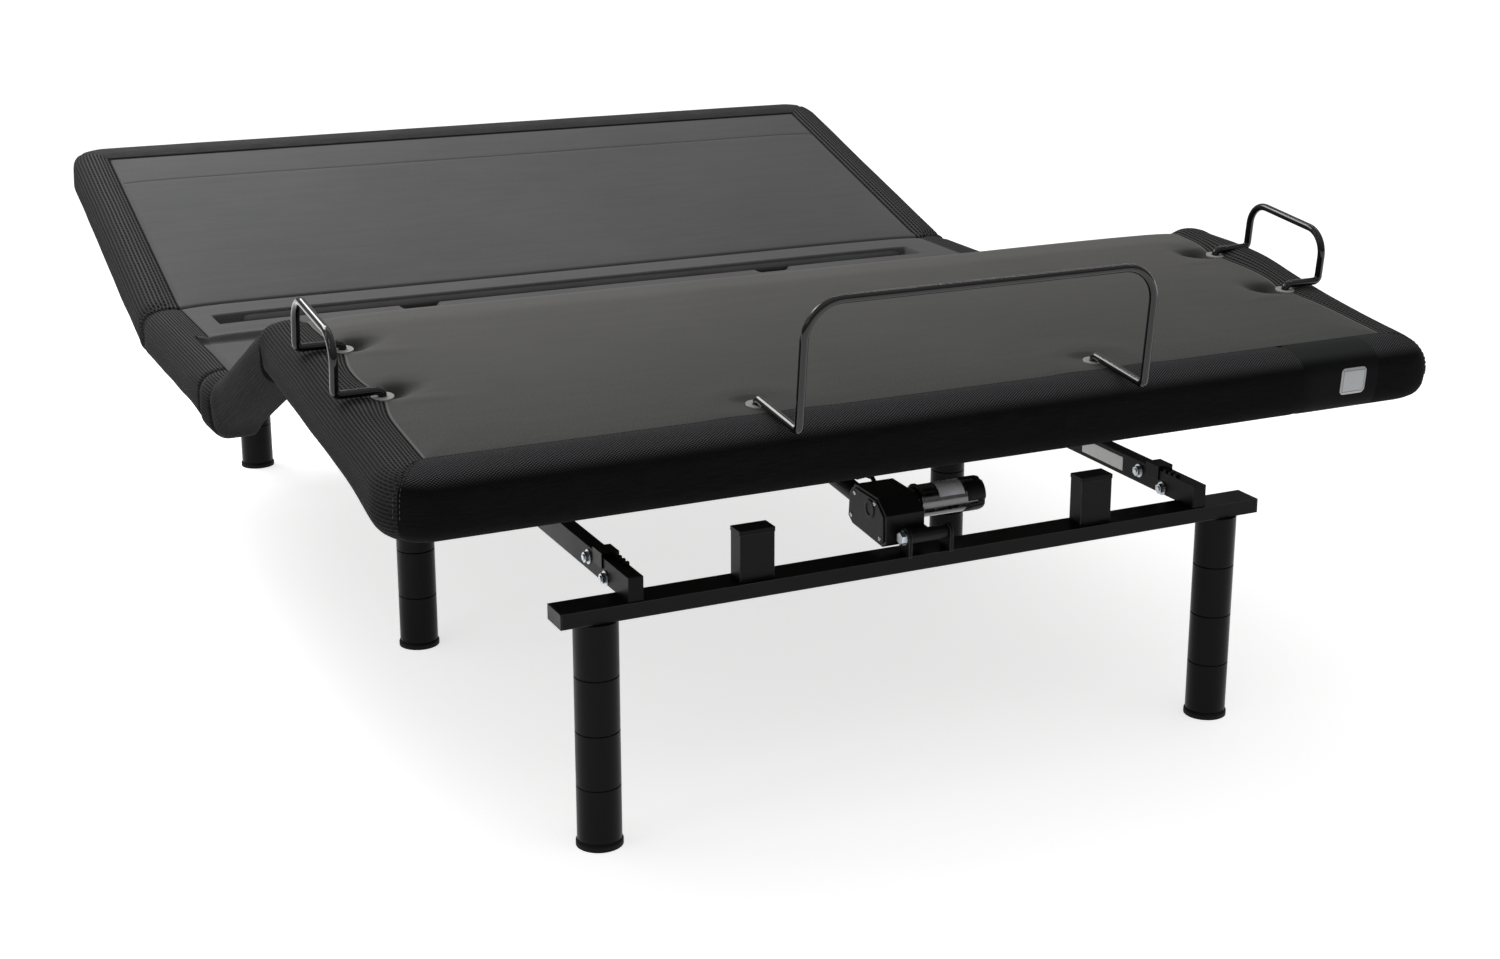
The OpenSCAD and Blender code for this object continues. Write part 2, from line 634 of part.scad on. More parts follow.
// Torque tube with two roller arms and a two-plate drive lever.
module lift_arm() color("#1a1a1a") {
  arm_frame(arm_deg) {
    bar_x(-rail_x + rail_w / 2 + 14, rail_x - rail_w / 2 - 14, 16);
    both_sides() {
      bar_x(rail_x - rail_w / 2 - 15, rail_x - rail_w / 2 - 1, piston_r);
      span([arm_out, -12, -arm_w / 2], [arm_out + arm_w, arm_len + 13, arm_w / 2]);
      translate([0, arm_len, 0]) {
        bar_x(arm_out + arm_w - 1, frame_x + 8.5, 6);
        bar_x(frame_x + 8.5, frame_x + 11, 9);
      }
    }
  }
  arm_frame(lever_deg) translate([leg_act[0], 0, 0]) {
    for (x = [-16, 10]) link_bar(lever_len, 12, x, x + 6, pin_r, pin_r - 0.5);
    translate([0, lever_len, 0]) bar_x(-19, 19, pin_r);
  }
}
module roller() arm_frame(arm_deg) translate([0, arm_len, 0]) difference() {
  bar_x(frame_x - 20, frame_x + 8, roller_d / 2);
  bar_x(frame_x - 30, frame_x + 20, 6 + running);
}
module right_roller() color("#d8d8d2") roller();
module left_roller() color("#d8d8d2") mirror([1, 0, 0]) roller();

module foot_links() color("#1a1a1a") bed() translate([0, link_base[0], link_base[1]])
  rotate([-link_deg, 0, 0]) mirror([0, 1, 0]) both_sides()
    link_bar(link_len, 10, link_x, link_x + link_t, pin_r + running, pin_r + 2);

// ---------------------------------------------------------------- actuators

module actuator_frame(p, deg) bed() translate([p[0], p[1], act_z]) rotate([deg, 0, 0]) children();
module along_y(y0, y1, r) translate([0, y0, 0]) rotate([-90, 0, 0]) cylinder(r = r, h = y1 - y0);

// Gearbox with its rear eye and the outer tube that the rod slides in.
module gearbox_and_tube(tube_end) difference() {
  union() {
    bar_x(pivot_x - pivot_w / 2, pivot_x + pivot_w / 2, 9.5);
    span([-6, 0, -8], [26, gearbox_y[0] + 2, 8]);
    translate([-28, 0, 0]) rotate([90, 0, 90]) linear_extrude(56) polygon([
      [gearbox_y[0], -14], [gearbox_y[0] + 10, -21], [gearbox_y[1] - 12, -21], [gearbox_y[1], -14],
      [gearbox_y[1], 20], [gearbox_y[1] - 14, 36], [gearbox_y[0] + 30, 40], [gearbox_y[0] + 4, 24]
    ]);
    along_y(gearbox_y[1] - 2, tube_end, tube_r);
  }
  bar_x(pivot_x - pivot_w, pivot_x + pivot_w, pin_r + running);
  along_y(gearbox_y[1] + 10, tube_end + 1, piston_r + 0.15);
}
module actuator_motor() translate([0, gearbox_y[0] + 46, 19]) {
  bar_x(28, 38, motor_r - 3);
  bar_x(38, 122, motor_r);
  bar_x(122, 134, motor_r - 2);
  bar_x(134, 140, 9);
}
module actuator_rod(len, eye) difference() {
  union() {
    along_y(len * 0.55, len - eye[0] + 2, piston_r);
    translate([0, len, 0]) bar_x(-8, 8, eye[0]);
  }
  translate([0, len, 0]) bar_x(-9, 9, eye[1]);
}

// Round socket in the gearbox's sloping face, in line with the lead's first stretch.
module lead_socket() {
  way = lead_route[1] - lead_route[0];
  translate(lead_route[0]) rotate([-acos(way[2] / norm(way)), 0, atan2(-way[0], way[1])])
    translate([0, 0, -lead_r - 2 * gap]) cylinder(r = lead_r + gap, h = 20);
}
module leg_actuator() color("#121212") actuator_frame(leg_act, leg_act_deg) difference() {
  gearbox_and_tube(leg_act_len - 115);
  lead_socket();
}
module leg_motor() color("#2a2a2b") actuator_frame(leg_act, leg_act_deg) actuator_motor();
module leg_rod() color("#9ea3a8") actuator_frame(leg_act, leg_act_deg) actuator_rod(leg_act_len, leg_eye);
module head_actuator() color("#121212") actuator_frame(head_act, head_act_deg)
  gearbox_and_tube(head_act_len - 100);
module head_motor() color("#2a2a2b") actuator_frame(head_act, head_act_deg) actuator_motor();
module head_rod() color("#9ea3a8") actuator_frame(head_act, head_act_deg)
  actuator_rod(head_act_len, head_eye);

// The leg motor's short lead, clipped along the actuator's tube to an in-line plug.
module motor_lead() color("#0a0a0a") actuator_frame(leg_act, leg_act_deg) {
  for (i = [0 : len(lead_route) - 2]) hull() {
    translate(lead_route[i]) sphere(r = lead_r, $fn = 16);
    translate(lead_route[i + 1]) sphere(r = lead_r, $fn = 16);
  }
  span([-8, 256, 13.2], [8, 300, 24]);
}

// ---------------------------------------------------------------- nodes

foot_crossbar();
middle_crossbar();
head_crossbar();
tube_caps();
left_rail();
right_rail();
rail_clips();
rail_bolts();
rail_label();
rest_posts();
post_caps();
foot_legs();
middle_legs();
head_legs();
leg_glides();
leg_studs();
standoffs();
arm_bearings();
link_brackets();
hinge_pins();
actuator_clevises();
clevis_pins();
control_box();
power_inlet();
seat_side_tubes();
seat_cross_tubes();
seat_board();
seat_foam();
seat_rim_foam();
seat_channel_bar();
head_side_tubes();
head_cross_tubes();
head_board();
head_foam();
head_rim_foam();
thigh_side_tubes();
thigh_cross_straps();
thigh_board();
thigh_foam();
thigh_rim_foam();
knee_pins();
foot_side_tubes();
foot_cross_straps();
foot_board();
foot_foam();
foot_rim_foam();
foot_retainer();
side_retainers();
grommets();
lift_arm();
left_roller();
right_roller();
foot_links();
leg_actuator();
leg_motor();
motor_lead();
leg_rod();
head_actuator();
head_motor();
head_rod();
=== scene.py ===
import json
import math

import bmesh
import bpy
import numpy as np
from mathutils import Matrix, Vector


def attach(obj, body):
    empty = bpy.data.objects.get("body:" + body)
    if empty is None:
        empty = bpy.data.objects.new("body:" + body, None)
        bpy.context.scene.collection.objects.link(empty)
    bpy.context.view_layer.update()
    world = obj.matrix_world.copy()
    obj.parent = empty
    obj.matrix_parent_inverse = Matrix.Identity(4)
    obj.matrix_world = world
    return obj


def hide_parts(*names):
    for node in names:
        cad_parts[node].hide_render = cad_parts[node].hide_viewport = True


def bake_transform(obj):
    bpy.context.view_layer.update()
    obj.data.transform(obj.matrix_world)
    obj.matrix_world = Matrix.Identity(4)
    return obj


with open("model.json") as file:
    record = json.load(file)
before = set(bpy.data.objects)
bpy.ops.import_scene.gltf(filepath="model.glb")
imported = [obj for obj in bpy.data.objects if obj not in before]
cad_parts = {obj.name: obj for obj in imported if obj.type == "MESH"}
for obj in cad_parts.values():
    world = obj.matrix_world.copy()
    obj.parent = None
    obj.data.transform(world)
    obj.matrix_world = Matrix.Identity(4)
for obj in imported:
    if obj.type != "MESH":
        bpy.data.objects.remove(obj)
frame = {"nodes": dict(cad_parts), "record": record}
record = frame["record"]
joints = {j["name"]: j for j in record["behaviour"]["joints"]}
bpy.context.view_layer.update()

# ------------------------------------------------------------------ camera
LENS_MM, SENSOR_MM = 54.984, 36.0
SHIFT_X, SHIFT_Y = -0.054533333, -0.0462
EYE = (-1.415, -3.30616, 1.320)
YAW, PITCH, ROLL = math.radians(27.43), math.radians(16.06), math.radians(0.61)
FAR_CLIP = 60.0


def camera():
    """The photograph's viewpoint: YAW turns from +y towards +x, PITCH looks down, ROLL leans."""
    data = bpy.data.cameras.new("camera")
    data.sensor_width = SENSOR_MM
    data.lens = LENS_MM
    data.shift_x = SHIFT_X
    data.shift_y = SHIFT_Y
    data.dof.use_dof = False
    data.clip_end = FAR_CLIP
    ob = bpy.data.objects.new("camera", data)
    bpy.context.scene.collection.objects.link(ob)
    bpy.context.scene.camera = ob
    forward = Vector((math.sin(YAW) * math.cos(PITCH), math.cos(YAW) * math.cos(PITCH), -math.sin(PITCH)))
    level = Vector((math.cos(YAW), -math.sin(YAW), 0.0))
    upright = level.cross(forward)
    right = level * math.cos(ROLL) + upright * math.sin(ROLL)
    up = upright * math.cos(ROLL) - level * math.sin(ROLL)
    pose = Matrix((right, up, -forward)).transposed().to_4x4()
    pose.translation = Vector(EYE)
    ob.matrix_world = pose


camera()

# ------------------------------------------------------------------ deck sizes, in metres
# The covers are made on a flat deck: x across, s along it from the thigh hinge towards the head,
# w up from the hinges' axes.
HEAD, THIGH, KNEE = math.radians(16.6), math.radians(26.0), math.radians(32.0)  # folds at rest
HEAD_HINGE = Vector(joints["head_hinge"]["pos_m"])
THIGH_HINGE = Vector(joints["thigh_hinge"]["pos_m"])
BEND = 0.026  # half the length over which the cloth bends at a hinge
SEAM, RIM = 0.688, 0.062  # half width of the top cloth, width of the padded rim outside it
TOP, LOW = 0.020, -0.055  # heights of the top cloth and of the rim's underside
HEAD_LENGTH, FOOT_LENGTH = 0.628, 0.551
S_HEAD = HEAD_HINGE.y - THIGH_HINGE.y
S_KNEE = -0.371
S_TOP_END = S_HEAD + HEAD_LENGTH
S_FOOT_END = S_KNEE - FOOT_LENGTH
CROSS_SEAM = S_TOP_END - 0.165
SIDE_CREASE = 0.070  # deep groove down the side rims, beside the seat
PAD_FRONT, LOWER = 0.277, 0.0105  # front edge of the seat's raised pad, height of the cloth in front of it
LAP_END = PAD_FRONT + 0.008
CHANNEL_LO, CHANNEL_HI = 0.346, 0.404
CHANNEL_X, CHANNEL_HALF = -0.0185, 0.6335
NOTCH_X = (-0.330, 0.312)  # middles of the channel's two notches
PATCH_X = (0.515, 0.640)  # the smooth patch in the foot face
TAG_X, TAG_W = 0.598, -0.0155
TAG_HALF_X, TAG_HALF_W = 0.0210, 0.0165
GROM_FOOT = [(x, S_KNEE - 0.461) for x in (-0.258, 0.232)]
GROM_SIDE = [(sx * 0.6755, S_KNEE - u) for sx in (-1, 1) for u in (0.121, 0.293)]
# the shaded fold beside each grommet: middle and radius along x, then along s
HOLLOWS = [(gx - math.copysign(0.020, gx), 0.042, gs + 0.021, 0.025) for gx, gs in GROM_SIDE]
HOLLOWS += [(gx - 0.004, 0.026, gs + 0.020, 0.012) for gx, gs in GROM_FOOT]


def smooth(t):
    """0 to 1 with soft ends."""
    t = np.clip(t, 0.0, 1.0)
    return t * t * (3 - 2 * t)


def bell(t, width):
    """1 at zero, falling to nothing over about twice the width."""
    return np.exp(-((t / width) ** 2))


def turn(y, z, a, pivot=0.0):
    """Points (y, z) turned by a about (pivot, 0)."""
    y = y - pivot
    return y * np.cos(a) - z * np.sin(a) + pivot, y * np.sin(a) + z * np.cos(a)


def to_rest(p):
    """Flat deck points (x, s, w) to the shared frame at rest."""
    flat_s = p[:, 1]
    # knee first, then the thigh hinge, then the head hinge: each turns what lies beyond it
    s, w = turn(flat_s, p[:, 2], KNEE * smooth((S_KNEE + BEND - flat_s) / (2 * BEND)), S_KNEE)
    s, w = turn(s, w, -THIGH * smooth((BEND - flat_s) / (2 * BEND)))
    s, w = turn(s, w, HEAD * smooth((flat_s - (S_HEAD - BEND)) / (2 * BEND)), S_HEAD)
    return np.stack([p[:, 0], s + THIGH_HINGE.y, w + THIGH_HINGE.z], 1)


# ------------------------------------------------------------------ mesh helpers
def new_object(name, verts, faces, mats, index=None, uvs=None):
    """A smooth mesh; index gives each face's material, uvs each vertex's place on the cloth."""
    me = bpy.data.meshes.new(name)
    me.from_pydata([tuple(v) for v in verts], [], faces)
    for mt in mats:
        me.materials.append(mt)
    if index is not None:
        me.polygons.foreach_set("material_index", index)
    if uvs is not None:
        layer = me.uv_layers.new(name="cloth")
        loops = np.empty(len(me.loops), dtype=np.int32)
        me.loops.foreach_get("vertex_index", loops)
        layer.data.foreach_set("uv", np.asarray(uvs, dtype=np.float32)[loops].ravel())
    me.polygons.foreach_set("use_smooth", [True] * len(me.polygons))
    me.update()
    ob = bpy.data.objects.new(name, me)
    bpy.context.scene.collection.objects.link(ob)
    return ob


def weld(ob, dist=1e-5):
    """Merge vertices closer than dist and turn every face outwards."""
    bm = bmesh.new()
    bm.from_mesh(ob.data)
    bmesh.ops.remove_doubles(bm, verts=bm.verts, dist=dist)
    bmesh.ops.dissolve_degenerate(bm, edges=bm.edges, dist=1e-7)
    bmesh.ops.recalc_face_normals(bm, faces=bm.faces)
    bm.to_mesh(ob.data)
    bm.free()
    return ob


# ------------------------------------------------------------------ node materials
class Nodes:
    """Short names for building a node tree."""

    def __init__(self, name):
        self.mat = bpy.data.materials.new(name)
        self.mat.use_nodes = True
        self.tree = self.mat.node_tree
        self.tree.nodes.clear()
        self.out = self.tree.nodes.new("ShaderNodeOutputMaterial")
        self.shader = self.tree.nodes.new("ShaderNodeBsdfPrincipled")
        self.tree.links.new(self.shader.outputs[0], self.out.inputs[0])

    def put(self, sock, v):
        """Link or set one input; None leaves it alone, and a plain number makes a grey."""
        if isinstance(v, bpy.types.NodeSocket):
            self.tree.links.new(v, sock)
        elif v is not None:
            if sock.type == "RGBA" and not hasattr(v, "__len__"):
                v = (v, v, v, 1.0)
            elif sock.type == "RGBA" and len(v) == 3:
                v = (*v, 1.0)
            sock.default_value = v

    def set(self, **kw):
        for k, v in kw.items():
            self.put(self.shader.inputs[k.replace("_", " ")], v)

    def math(self, op, a, b=None):
        n = self.tree.nodes.new("ShaderNodeMath")
        n.operation = op
        self.put(n.inputs[0], a)
        self.put(n.inputs[1], b)
        return n.outputs[0]

    def add(self, a, b):
        return self.math("ADD", a, b)

    def sub(self, a, b):
        return self.math("SUBTRACT", a, b)

    def mul(self, a, b):
        return self.math("MULTIPLY", a, b)

    def div(self, a, b):
        return self.math("DIVIDE", a, b)

    def abs(self, a):
        return self.math("ABSOLUTE", a)

    def square(self, a):
        return self.math("POWER", a, 2.0)

    def mix(self, f, a, b):
        n = self.tree.nodes.new("ShaderNodeMix")
        n.data_type = "RGBA"
        self.put(n.inputs[0], f)
        self.put(n.inputs[6], a)
        self.put(n.inputs[7], b)
        return n.outputs[2]

    def span(self, v, a, b, lo=0.0, hi=1.0):
        """Smooth step of v from a to b onto lo to hi."""
        n = self.tree.nodes.new("ShaderNodeMapRange")
        n.interpolation_type = "SMOOTHSTEP"
        for i, q in enumerate((v, a, b, lo, hi)):
            self.put(n.inputs[i], q)
        return n.outputs[0]

    def obj(self):
        return self.tree.nodes.new("ShaderNodeTexCoord").outputs["Object"]

    def uv(self):
        n = self.tree.nodes.new("ShaderNodeUVMap")
        n.uv_map = "cloth"
        return n.outputs[0]

    def xyz(self, v):
        n = self.tree.nodes.new("ShaderNodeSeparateXYZ")
        self.put(n.inputs[0], v)
        return n.outputs

    def vec(self, x, y):
        n = self.tree.nodes.new("ShaderNodeCombineXYZ")
        self.put(n.inputs[0], x)
        self.put(n.inputs[1], y)
        return n.outputs[0]

    def scale(self, v, s):
        n = self.tree.nodes.new("ShaderNodeVectorMath")
        n.operation = "MULTIPLY"
        self.put(n.inputs[0], v)
        n.inputs[1].default_value = s
        return n.outputs[0]

    def noise(self, v, scale, detail=3.0, rough=0.55):
        n = self.tree.nodes.new("ShaderNodeTexNoise")
        self.put(n.inputs["Vector"], v)
        n.inputs["Scale"].default_value = scale
        n.inputs["Detail"].default_value = detail
        n.inputs["Roughness"].default_value = rough
        return n.outputs["Fac"]

    def bump(self, h, strength, dist, normal=None):
        n = self.tree.nodes.new("ShaderNodeBump")
        n.inputs["Strength"].default_value = strength
        n.inputs["Distance"].default_value = dist
        self.put(n.inputs["Height"], h)
        if normal is not None:
            self.put(n.inputs["Normal"], normal)
        return n.outputs[0]

    def edge(self, radius):
        """The rounded normal, and 0 to 1 where an edge is sharp."""
        bv = self.tree.nodes.new("ShaderNodeBevel")
        bv.samples = 4
        bv.inputs[0].default_value = radius
        g = self.tree.nodes.new("ShaderNodeNewGeometry")
        d = self.tree.nodes.new("ShaderNodeVectorMath")
        d.operation = "DOT_PRODUCT"
        self.tree.links.new(bv.outputs[0], d.inputs[0])
        self.tree.links.new(g.outputs["Normal"], d.inputs[1])
        return bv.outputs[0], self.span(d.outputs["Value"], 0.995, 0.90)


def cover_cloth():
    """Smooth non-woven top cloth: streaks across the bed, fine speckle, soft sheen, dark sewn seams."""
    n = Nodes("cover_cloth")
    x, s, _ = n.xyz(n.uv())
    v = n.vec(x, s)
    streak = n.noise(n.scale(v, (7.0, 60.0, 1.0)), 1.0, 6.0, 0.7)
    cloud = n.noise(v, 2.6, 3.0)
    speck = n.noise(v, 700.0, 2.0, 0.7)
    fibre = n.noise(n.scale(v, (1.0, 3.0, 1.0)), 240.0, 3.0, 0.7)
    tone = n.add(n.mul(streak, 0.5), n.mul(cloud, 0.5))
    tone = n.span(tone, 0.30, 0.70)
    foot = n.span(s, S_KNEE + 0.10, S_KNEE)
    # painted shade: the foot panel's colour darkens from the knee towards its end, standing in for the light
    # falling off
    shade_to_foot_end = n.span(s, S_KNEE - 0.02, S_FOOT_END + 0.05)
    base = n.mix(tone, (0.053, 0.053, 0.054), (0.071, 0.071, 0.072))
    near = n.mix(tone, (0.054, 0.053, 0.049), (0.074, 0.072, 0.067))
    shaded_far_end = n.mix(tone, (0.031, 0.031, 0.029), (0.043, 0.043, 0.040))
    col = n.mix(foot, base, n.mix(shade_to_foot_end, near, shaded_far_end))
    # painted highlight along the knee's crest
    knee_crest_highlight = n.span(n.abs(n.sub(s, S_KNEE - 0.012)), 0.050, 0.006, 0.0, 0.40)
    col = n.mix(knee_crest_highlight, col, (0.125, 0.122, 0.112))
    col = n.mix(n.span(speck, 0.50, 0.68, 0.0, 0.35), col, (0.17, 0.17, 0.17))
    col = n.mix(n.span(fibre, 0.55, 0.75, 0.0, 0.35), col, (0.035, 0.035, 0.036))
    # the folds beside the grommets hold shade
    for cx, rx, cs, rs in HOLLOWS:
        across = n.square(n.div(n.sub(x, cx), rx))
        r = n.add(across, n.square(n.div(n.sub(s, cs), rs)))
        col = n.mix(n.span(r, 1.3, 0.0, 0.0, 0.92), col, (0.010, 0.010, 0.0095))
    # sewn edges of the head and foot panels
    side = n.sub(SEAM, n.abs(x))
    end = n.sub(S_TOP_END - RIM, s)
    line = n.math("MINIMUM", n.add(side, 0.0006), n.mul(end, 0.40))
    dark = n.mul(n.span(line, 0.0035, 0.0012), n.span(s, PAD_FRONT, LAP_END))
    dark = n.mul(dark, n.span(end, 0.012, 0.006, 0.55, 1.0))
    col = n.mix(dark, col, (0.008, 0.008, 0.008))
    rim = n.span(n.abs(n.sub(side, 0.0022)), 0.0016, 0.0006)
    rim = n.mul(rim, foot)
    col = n.mix(rim, col, (0.12, 0.12, 0.116))
    h = n.add(n.mul(speck, 0.4), n.mul(fibre, 0.6))
    n.set(Base_Color=col, Roughness=0.78, Sheen_Weight=0.12, Sheen_Roughness=0.45, Specular_IOR_Level=0.3)
    n.set(Normal=n.bump(h, 0.35, 0.0004))
    return n.mat


def side_knit():
    """Ribbed knit: rows along the edge, each with dark slots staggered from row to row."""
    rib, dash = 0.0044, 0.0066
    n = Nodes("side_knit")
    a, p, _ = n.xyz(n.uv())
    wobble = n.noise(n.vec(a, p), 60.0, 2.0)
    coarse = n.span(a, S_HEAD, S_HEAD + 0.0001, 1.0, 0.72)
    row = n.mul(n.div(n.add(p, n.mul(wobble, 0.0009)), rib), coarse)
    along = n.mul(n.div(n.add(a, n.mul(wobble, 0.0012)), dash), coarse)
    shift = n.mul(n.math("MODULO", n.abs(n.math("FLOOR", row)), 2.0), 0.5)
    dx = n.abs(n.sub(n.math("FRACT", n.add(along, shift)), 0.5))
    dy = n.abs(n.sub(n.math("FRACT", row), 0.5))
    gap = n.add(n.square(n.mul(dx, 3.1)), n.square(n.mul(dy, 3.6)))
    pit = n.span(gap, 1.15, 0.55)
    ridge = n.span(dy, 0.20, 0.46)
    fibre = n.noise(n.vec(a, p), 1400.0, 2.0, 0.7)
    big = n.noise(n.vec(a, p), 5.0, 3.0)
    plain = n.span(p, 0.036, 0.052)
    outer_side_shade = n.span(p, 0.050, 0.095)
    col = n.mix(ridge, (0.030, 0.030, 0.031), (0.088, 0.088, 0.089))
    col = n.mix(n.span(big, 0.35, 0.7, 0.0, 0.30), col, (0.04, 0.04, 0.04))
    col = n.mix(n.span(fibre, 0.5, 0.8, 0.0, 0.4), col, (0.025, 0.025, 0.025))
    col = n.mix(n.mul(plain, 0.5), col, (0.026, 0.026, 0.0265))
    # painted shade: the rim's outer side, turned down and away from the lights, is painted darker
    col = n.mix(n.mul(outer_side_shade, 0.75), col, (0.006, 0.006, 0.006))
    # painted shade: the outer sides of the thigh section are painted darker still
    thigh_side_shade = n.mul(n.span(a, 0.17, 0.06), n.span(a, S_KNEE - 0.06, S_KNEE))
    col = n.mix(n.mul(n.mul(thigh_side_shade, outer_side_shade), 0.95), col, (0.005, 0.005, 0.005))
    col = n.mix(n.span(p, 0.0024, 0.0012), col, (0.004, 0.004, 0.004))
    lap = n.mul(n.span(a, LAP_END, PAD_FRONT - 0.002), n.span(a, 0.0, 0.01))
    col = n.mix(n.mul(lap, n.span(p, 0.0235, 0.0205)), col, (0.004, 0.004, 0.004))
    col = n.mix(n.mul(pit, n.span(plain, 0.0, 1.0, 0.97, 0.55)), col, (0.0028, 0.0028, 0.0028))
    h = n.sub(n.add(ridge, n.mul(fibre, 0.25)), n.mul(pit, 1.4))
    n.set(Base_Color=col, Roughness=0.85, Specular_IOR_Level=0.1)
    n.set(Normal=n.bump(h, 0.9, 0.0008))
    return n.mat


def fine_knit(name, lo, hi, mesh, seam=0.0):
    """Fine knit: a grain across the bed, and an open diagonal net over the lip, as strong as mesh."""
    n = Nodes(name)
    a, p, _ = n.xyz(n.uv())
    v = n.vec(a, p)
    grain = n.noise(n.scale(v, (30.0, 900.0, 1.0)), 1.0, 3.0, 0.6)
    cloud = n.noise(v, 9.0, 3.0)
    u, w = n.div(a, 0.0046), n.div(p, 0.0034)
    d1 = n.math("SINE", n.mul(n.add(u, w), math.pi))
    d2 = n.math("SINE", n.mul(n.sub(u, w), math.pi))
    net = n.mul(n.abs(d1), n.abs(d2))
    lip = n.mul(n.span(p, 0.066, 0.048), mesh)
    col = n.mix(n.span(grain, 0.3, 0.7), lo, hi)
    col = n.mix(n.span(cloud, 0.35, 0.7, 0.0, 0.4), col, lo)
    stitch = tuple(min(0.13, c * 17) for c in hi)
    col = n.mix(n.mul(lip, n.span(net, 0.25, 0.7)), col, stitch)
    col = n.mix(n.span(p, 0.0060, 0.0035, 0.0, seam), col, (0.003, 0.003, 0.003))
    h = n.add(n.mul(grain, 0.5), n.mul(net, 0.6))
    n.set(Base_Color=col, Roughness=0.85, Specular_IOR_Level=0.06)
    n.set(Normal=n.bump(h, 0.6, 0.0006))
    return n.mat


def patch_cloth():
    """Smooth close cloth round the tag, one cloth with painted light and shade: grey over the lip, painted
    near-black down the wall.
    """
    n = Nodes("patch_cloth")
    a, p, _ = n.xyz(n.uv())
    fine = n.noise(n.vec(a, p), 900.0, 3.0, 0.65)
    lip = n.mix(fine, (0.017, 0.018, 0.018), (0.028, 0.029, 0.029))
    wall = n.mix(fine, (0.0022, 0.0022, 0.0024), (0.0048, 0.0048, 0.005))
    # the lip's grey against the wall's near-black is painted light and shade on one cloth
    n.set(Base_Color=n.mix(n.span(p, 0.046, 0.062), lip, wall), Roughness=0.75, Specular_IOR_Level=0.08)
    n.set(Normal=n.bump(fine, 0.3, 0.0004))
    return n.mat


def plain_fabric(name, lo, hi, rough=0.75):
    """Close dark fabric with a faint grain."""
    n = Nodes(name)
    o = n.obj()
    fine = n.noise(o, 800.0, 3.0, 0.65)
    big = n.noise(o, 14.0, 3.0)
    col = n.mix(n.add(n.mul(fine, 0.6), n.mul(big, 0.4)), lo, hi)
    n.set(Base_Color=col, Roughness=rough, Specular_IOR_Level=0.2, Normal=n.bump(fine, 0.3, 0.0004))
    return n.mat


def steel():
    """Satin black powder coat; its edges are painted lighter, a painted highlight with a little wear."""
    n = Nodes("powder_coat")
    o = n.obj()
    normal, edge = n.edge(0.0017)
    grain = n.noise(o, 1600.0, 2.0)
    big = n.noise(o, 7.0, 3.0)
    col = n.mix(big, (0.0050, 0.0050, 0.0054), (0.0085, 0.0085, 0.0090))
    # painted highlight: the sharp edges are painted lighter, with a little wear
    col = n.mix(n.mul(edge, 0.85), col, (0.10, 0.10, 0.104))
    n.set(Base_Color=col, Roughness=n.span(big, 0.3, 0.7, 0.30, 0.42), Specular_IOR_Level=0.09)
    n.set(Normal=n.bump(grain, 0.12, 0.0002, normal))
    return n.mat


def plastic(name, base, rough, grain=900.0, radius=0.0008, bumps=0.1, shine=0.5):
    """Moulded plastic, rubber or paper: a little mottled, with rounded, slightly lighter edges."""
    n = Nodes(name)
    o = n.obj()
    normal, edge = n.edge(radius)
    big = n.noise(o, 12.0, 3.0)
    fine = n.noise(o, grain, 2.0)
    col = n.mix(big, tuple(c * 0.8 for c in base), tuple(c * 1.2 for c in base))
    col = n.mix(n.mul(edge, 0.3), col, tuple(min(1.0, c * 2.5 + 0.01) for c in base))
    gloss = n.span(big, 0.3, 0.7, rough - 0.05, rough + 0.06)
    n.set(Base_Color=col, Roughness=gloss, Specular_IOR_Level=shine)
    n.set(Normal=n.bump(fine, bumps, 0.0002, normal))
    return n.mat


def gloss_rod():
    """Bent rod in glossy black paint."""
    n = Nodes("gloss_rod")
    o = n.obj()
    big = n.noise(o, 30.0, 3.0)
    col = n.mix(big, (0.0015, 0.0015, 0.0015), (0.003, 0.003, 0.003))
    n.set(Base_Color=col, Roughness=n.span(big, 0.3, 0.7, 0.16, 0.24), Specular_IOR_Level=0.08)
    n.set(Coat_Weight=0.85, Coat_Roughness=0.03)
    n.set(Normal=n.bump(n.noise(o, 500.0, 2.0), 0.03, 0.0002))
    return n.mat


def metal(name, base, rough):
    """Plated or bare metal with uneven gloss."""
    n = Nodes(name)
    o = n.obj()
    normal, _ = n.edge(0.0006)
    big = n.noise(o, 90.0, 4.0)
    col = n.mix(big, tuple(c * 0.75 for c in base), base)
    n.set(Base_Color=col, Metallic=1.0, Roughness=n.span(big, 0.3, 0.7, rough - 0.06, rough + 0.1))
    n.set(Normal=n.bump(n.noise(o, 1200.0, 2.0), 0.08, 0.0002, normal))
    return n.mat


def ply():
    """Dark-stained plywood with a faint long grain."""
    n = Nodes("board")
    o = n.obj()
    grain = n.noise(n.scale(o, (1.2, 18.0, 18.0)), 6.0, 5.0)
    fine = n.noise(n.scale(o, (4.0, 60.0, 60.0)), 14.0, 3.0)
    col = n.mix(grain, (0.016, 0.0135, 0.010), (0.040, 0.033, 0.025))
    n.set(Base_Color=col, Roughness=0.7, Normal=n.bump(fine, 0.2, 0.0004))
    return n.mat


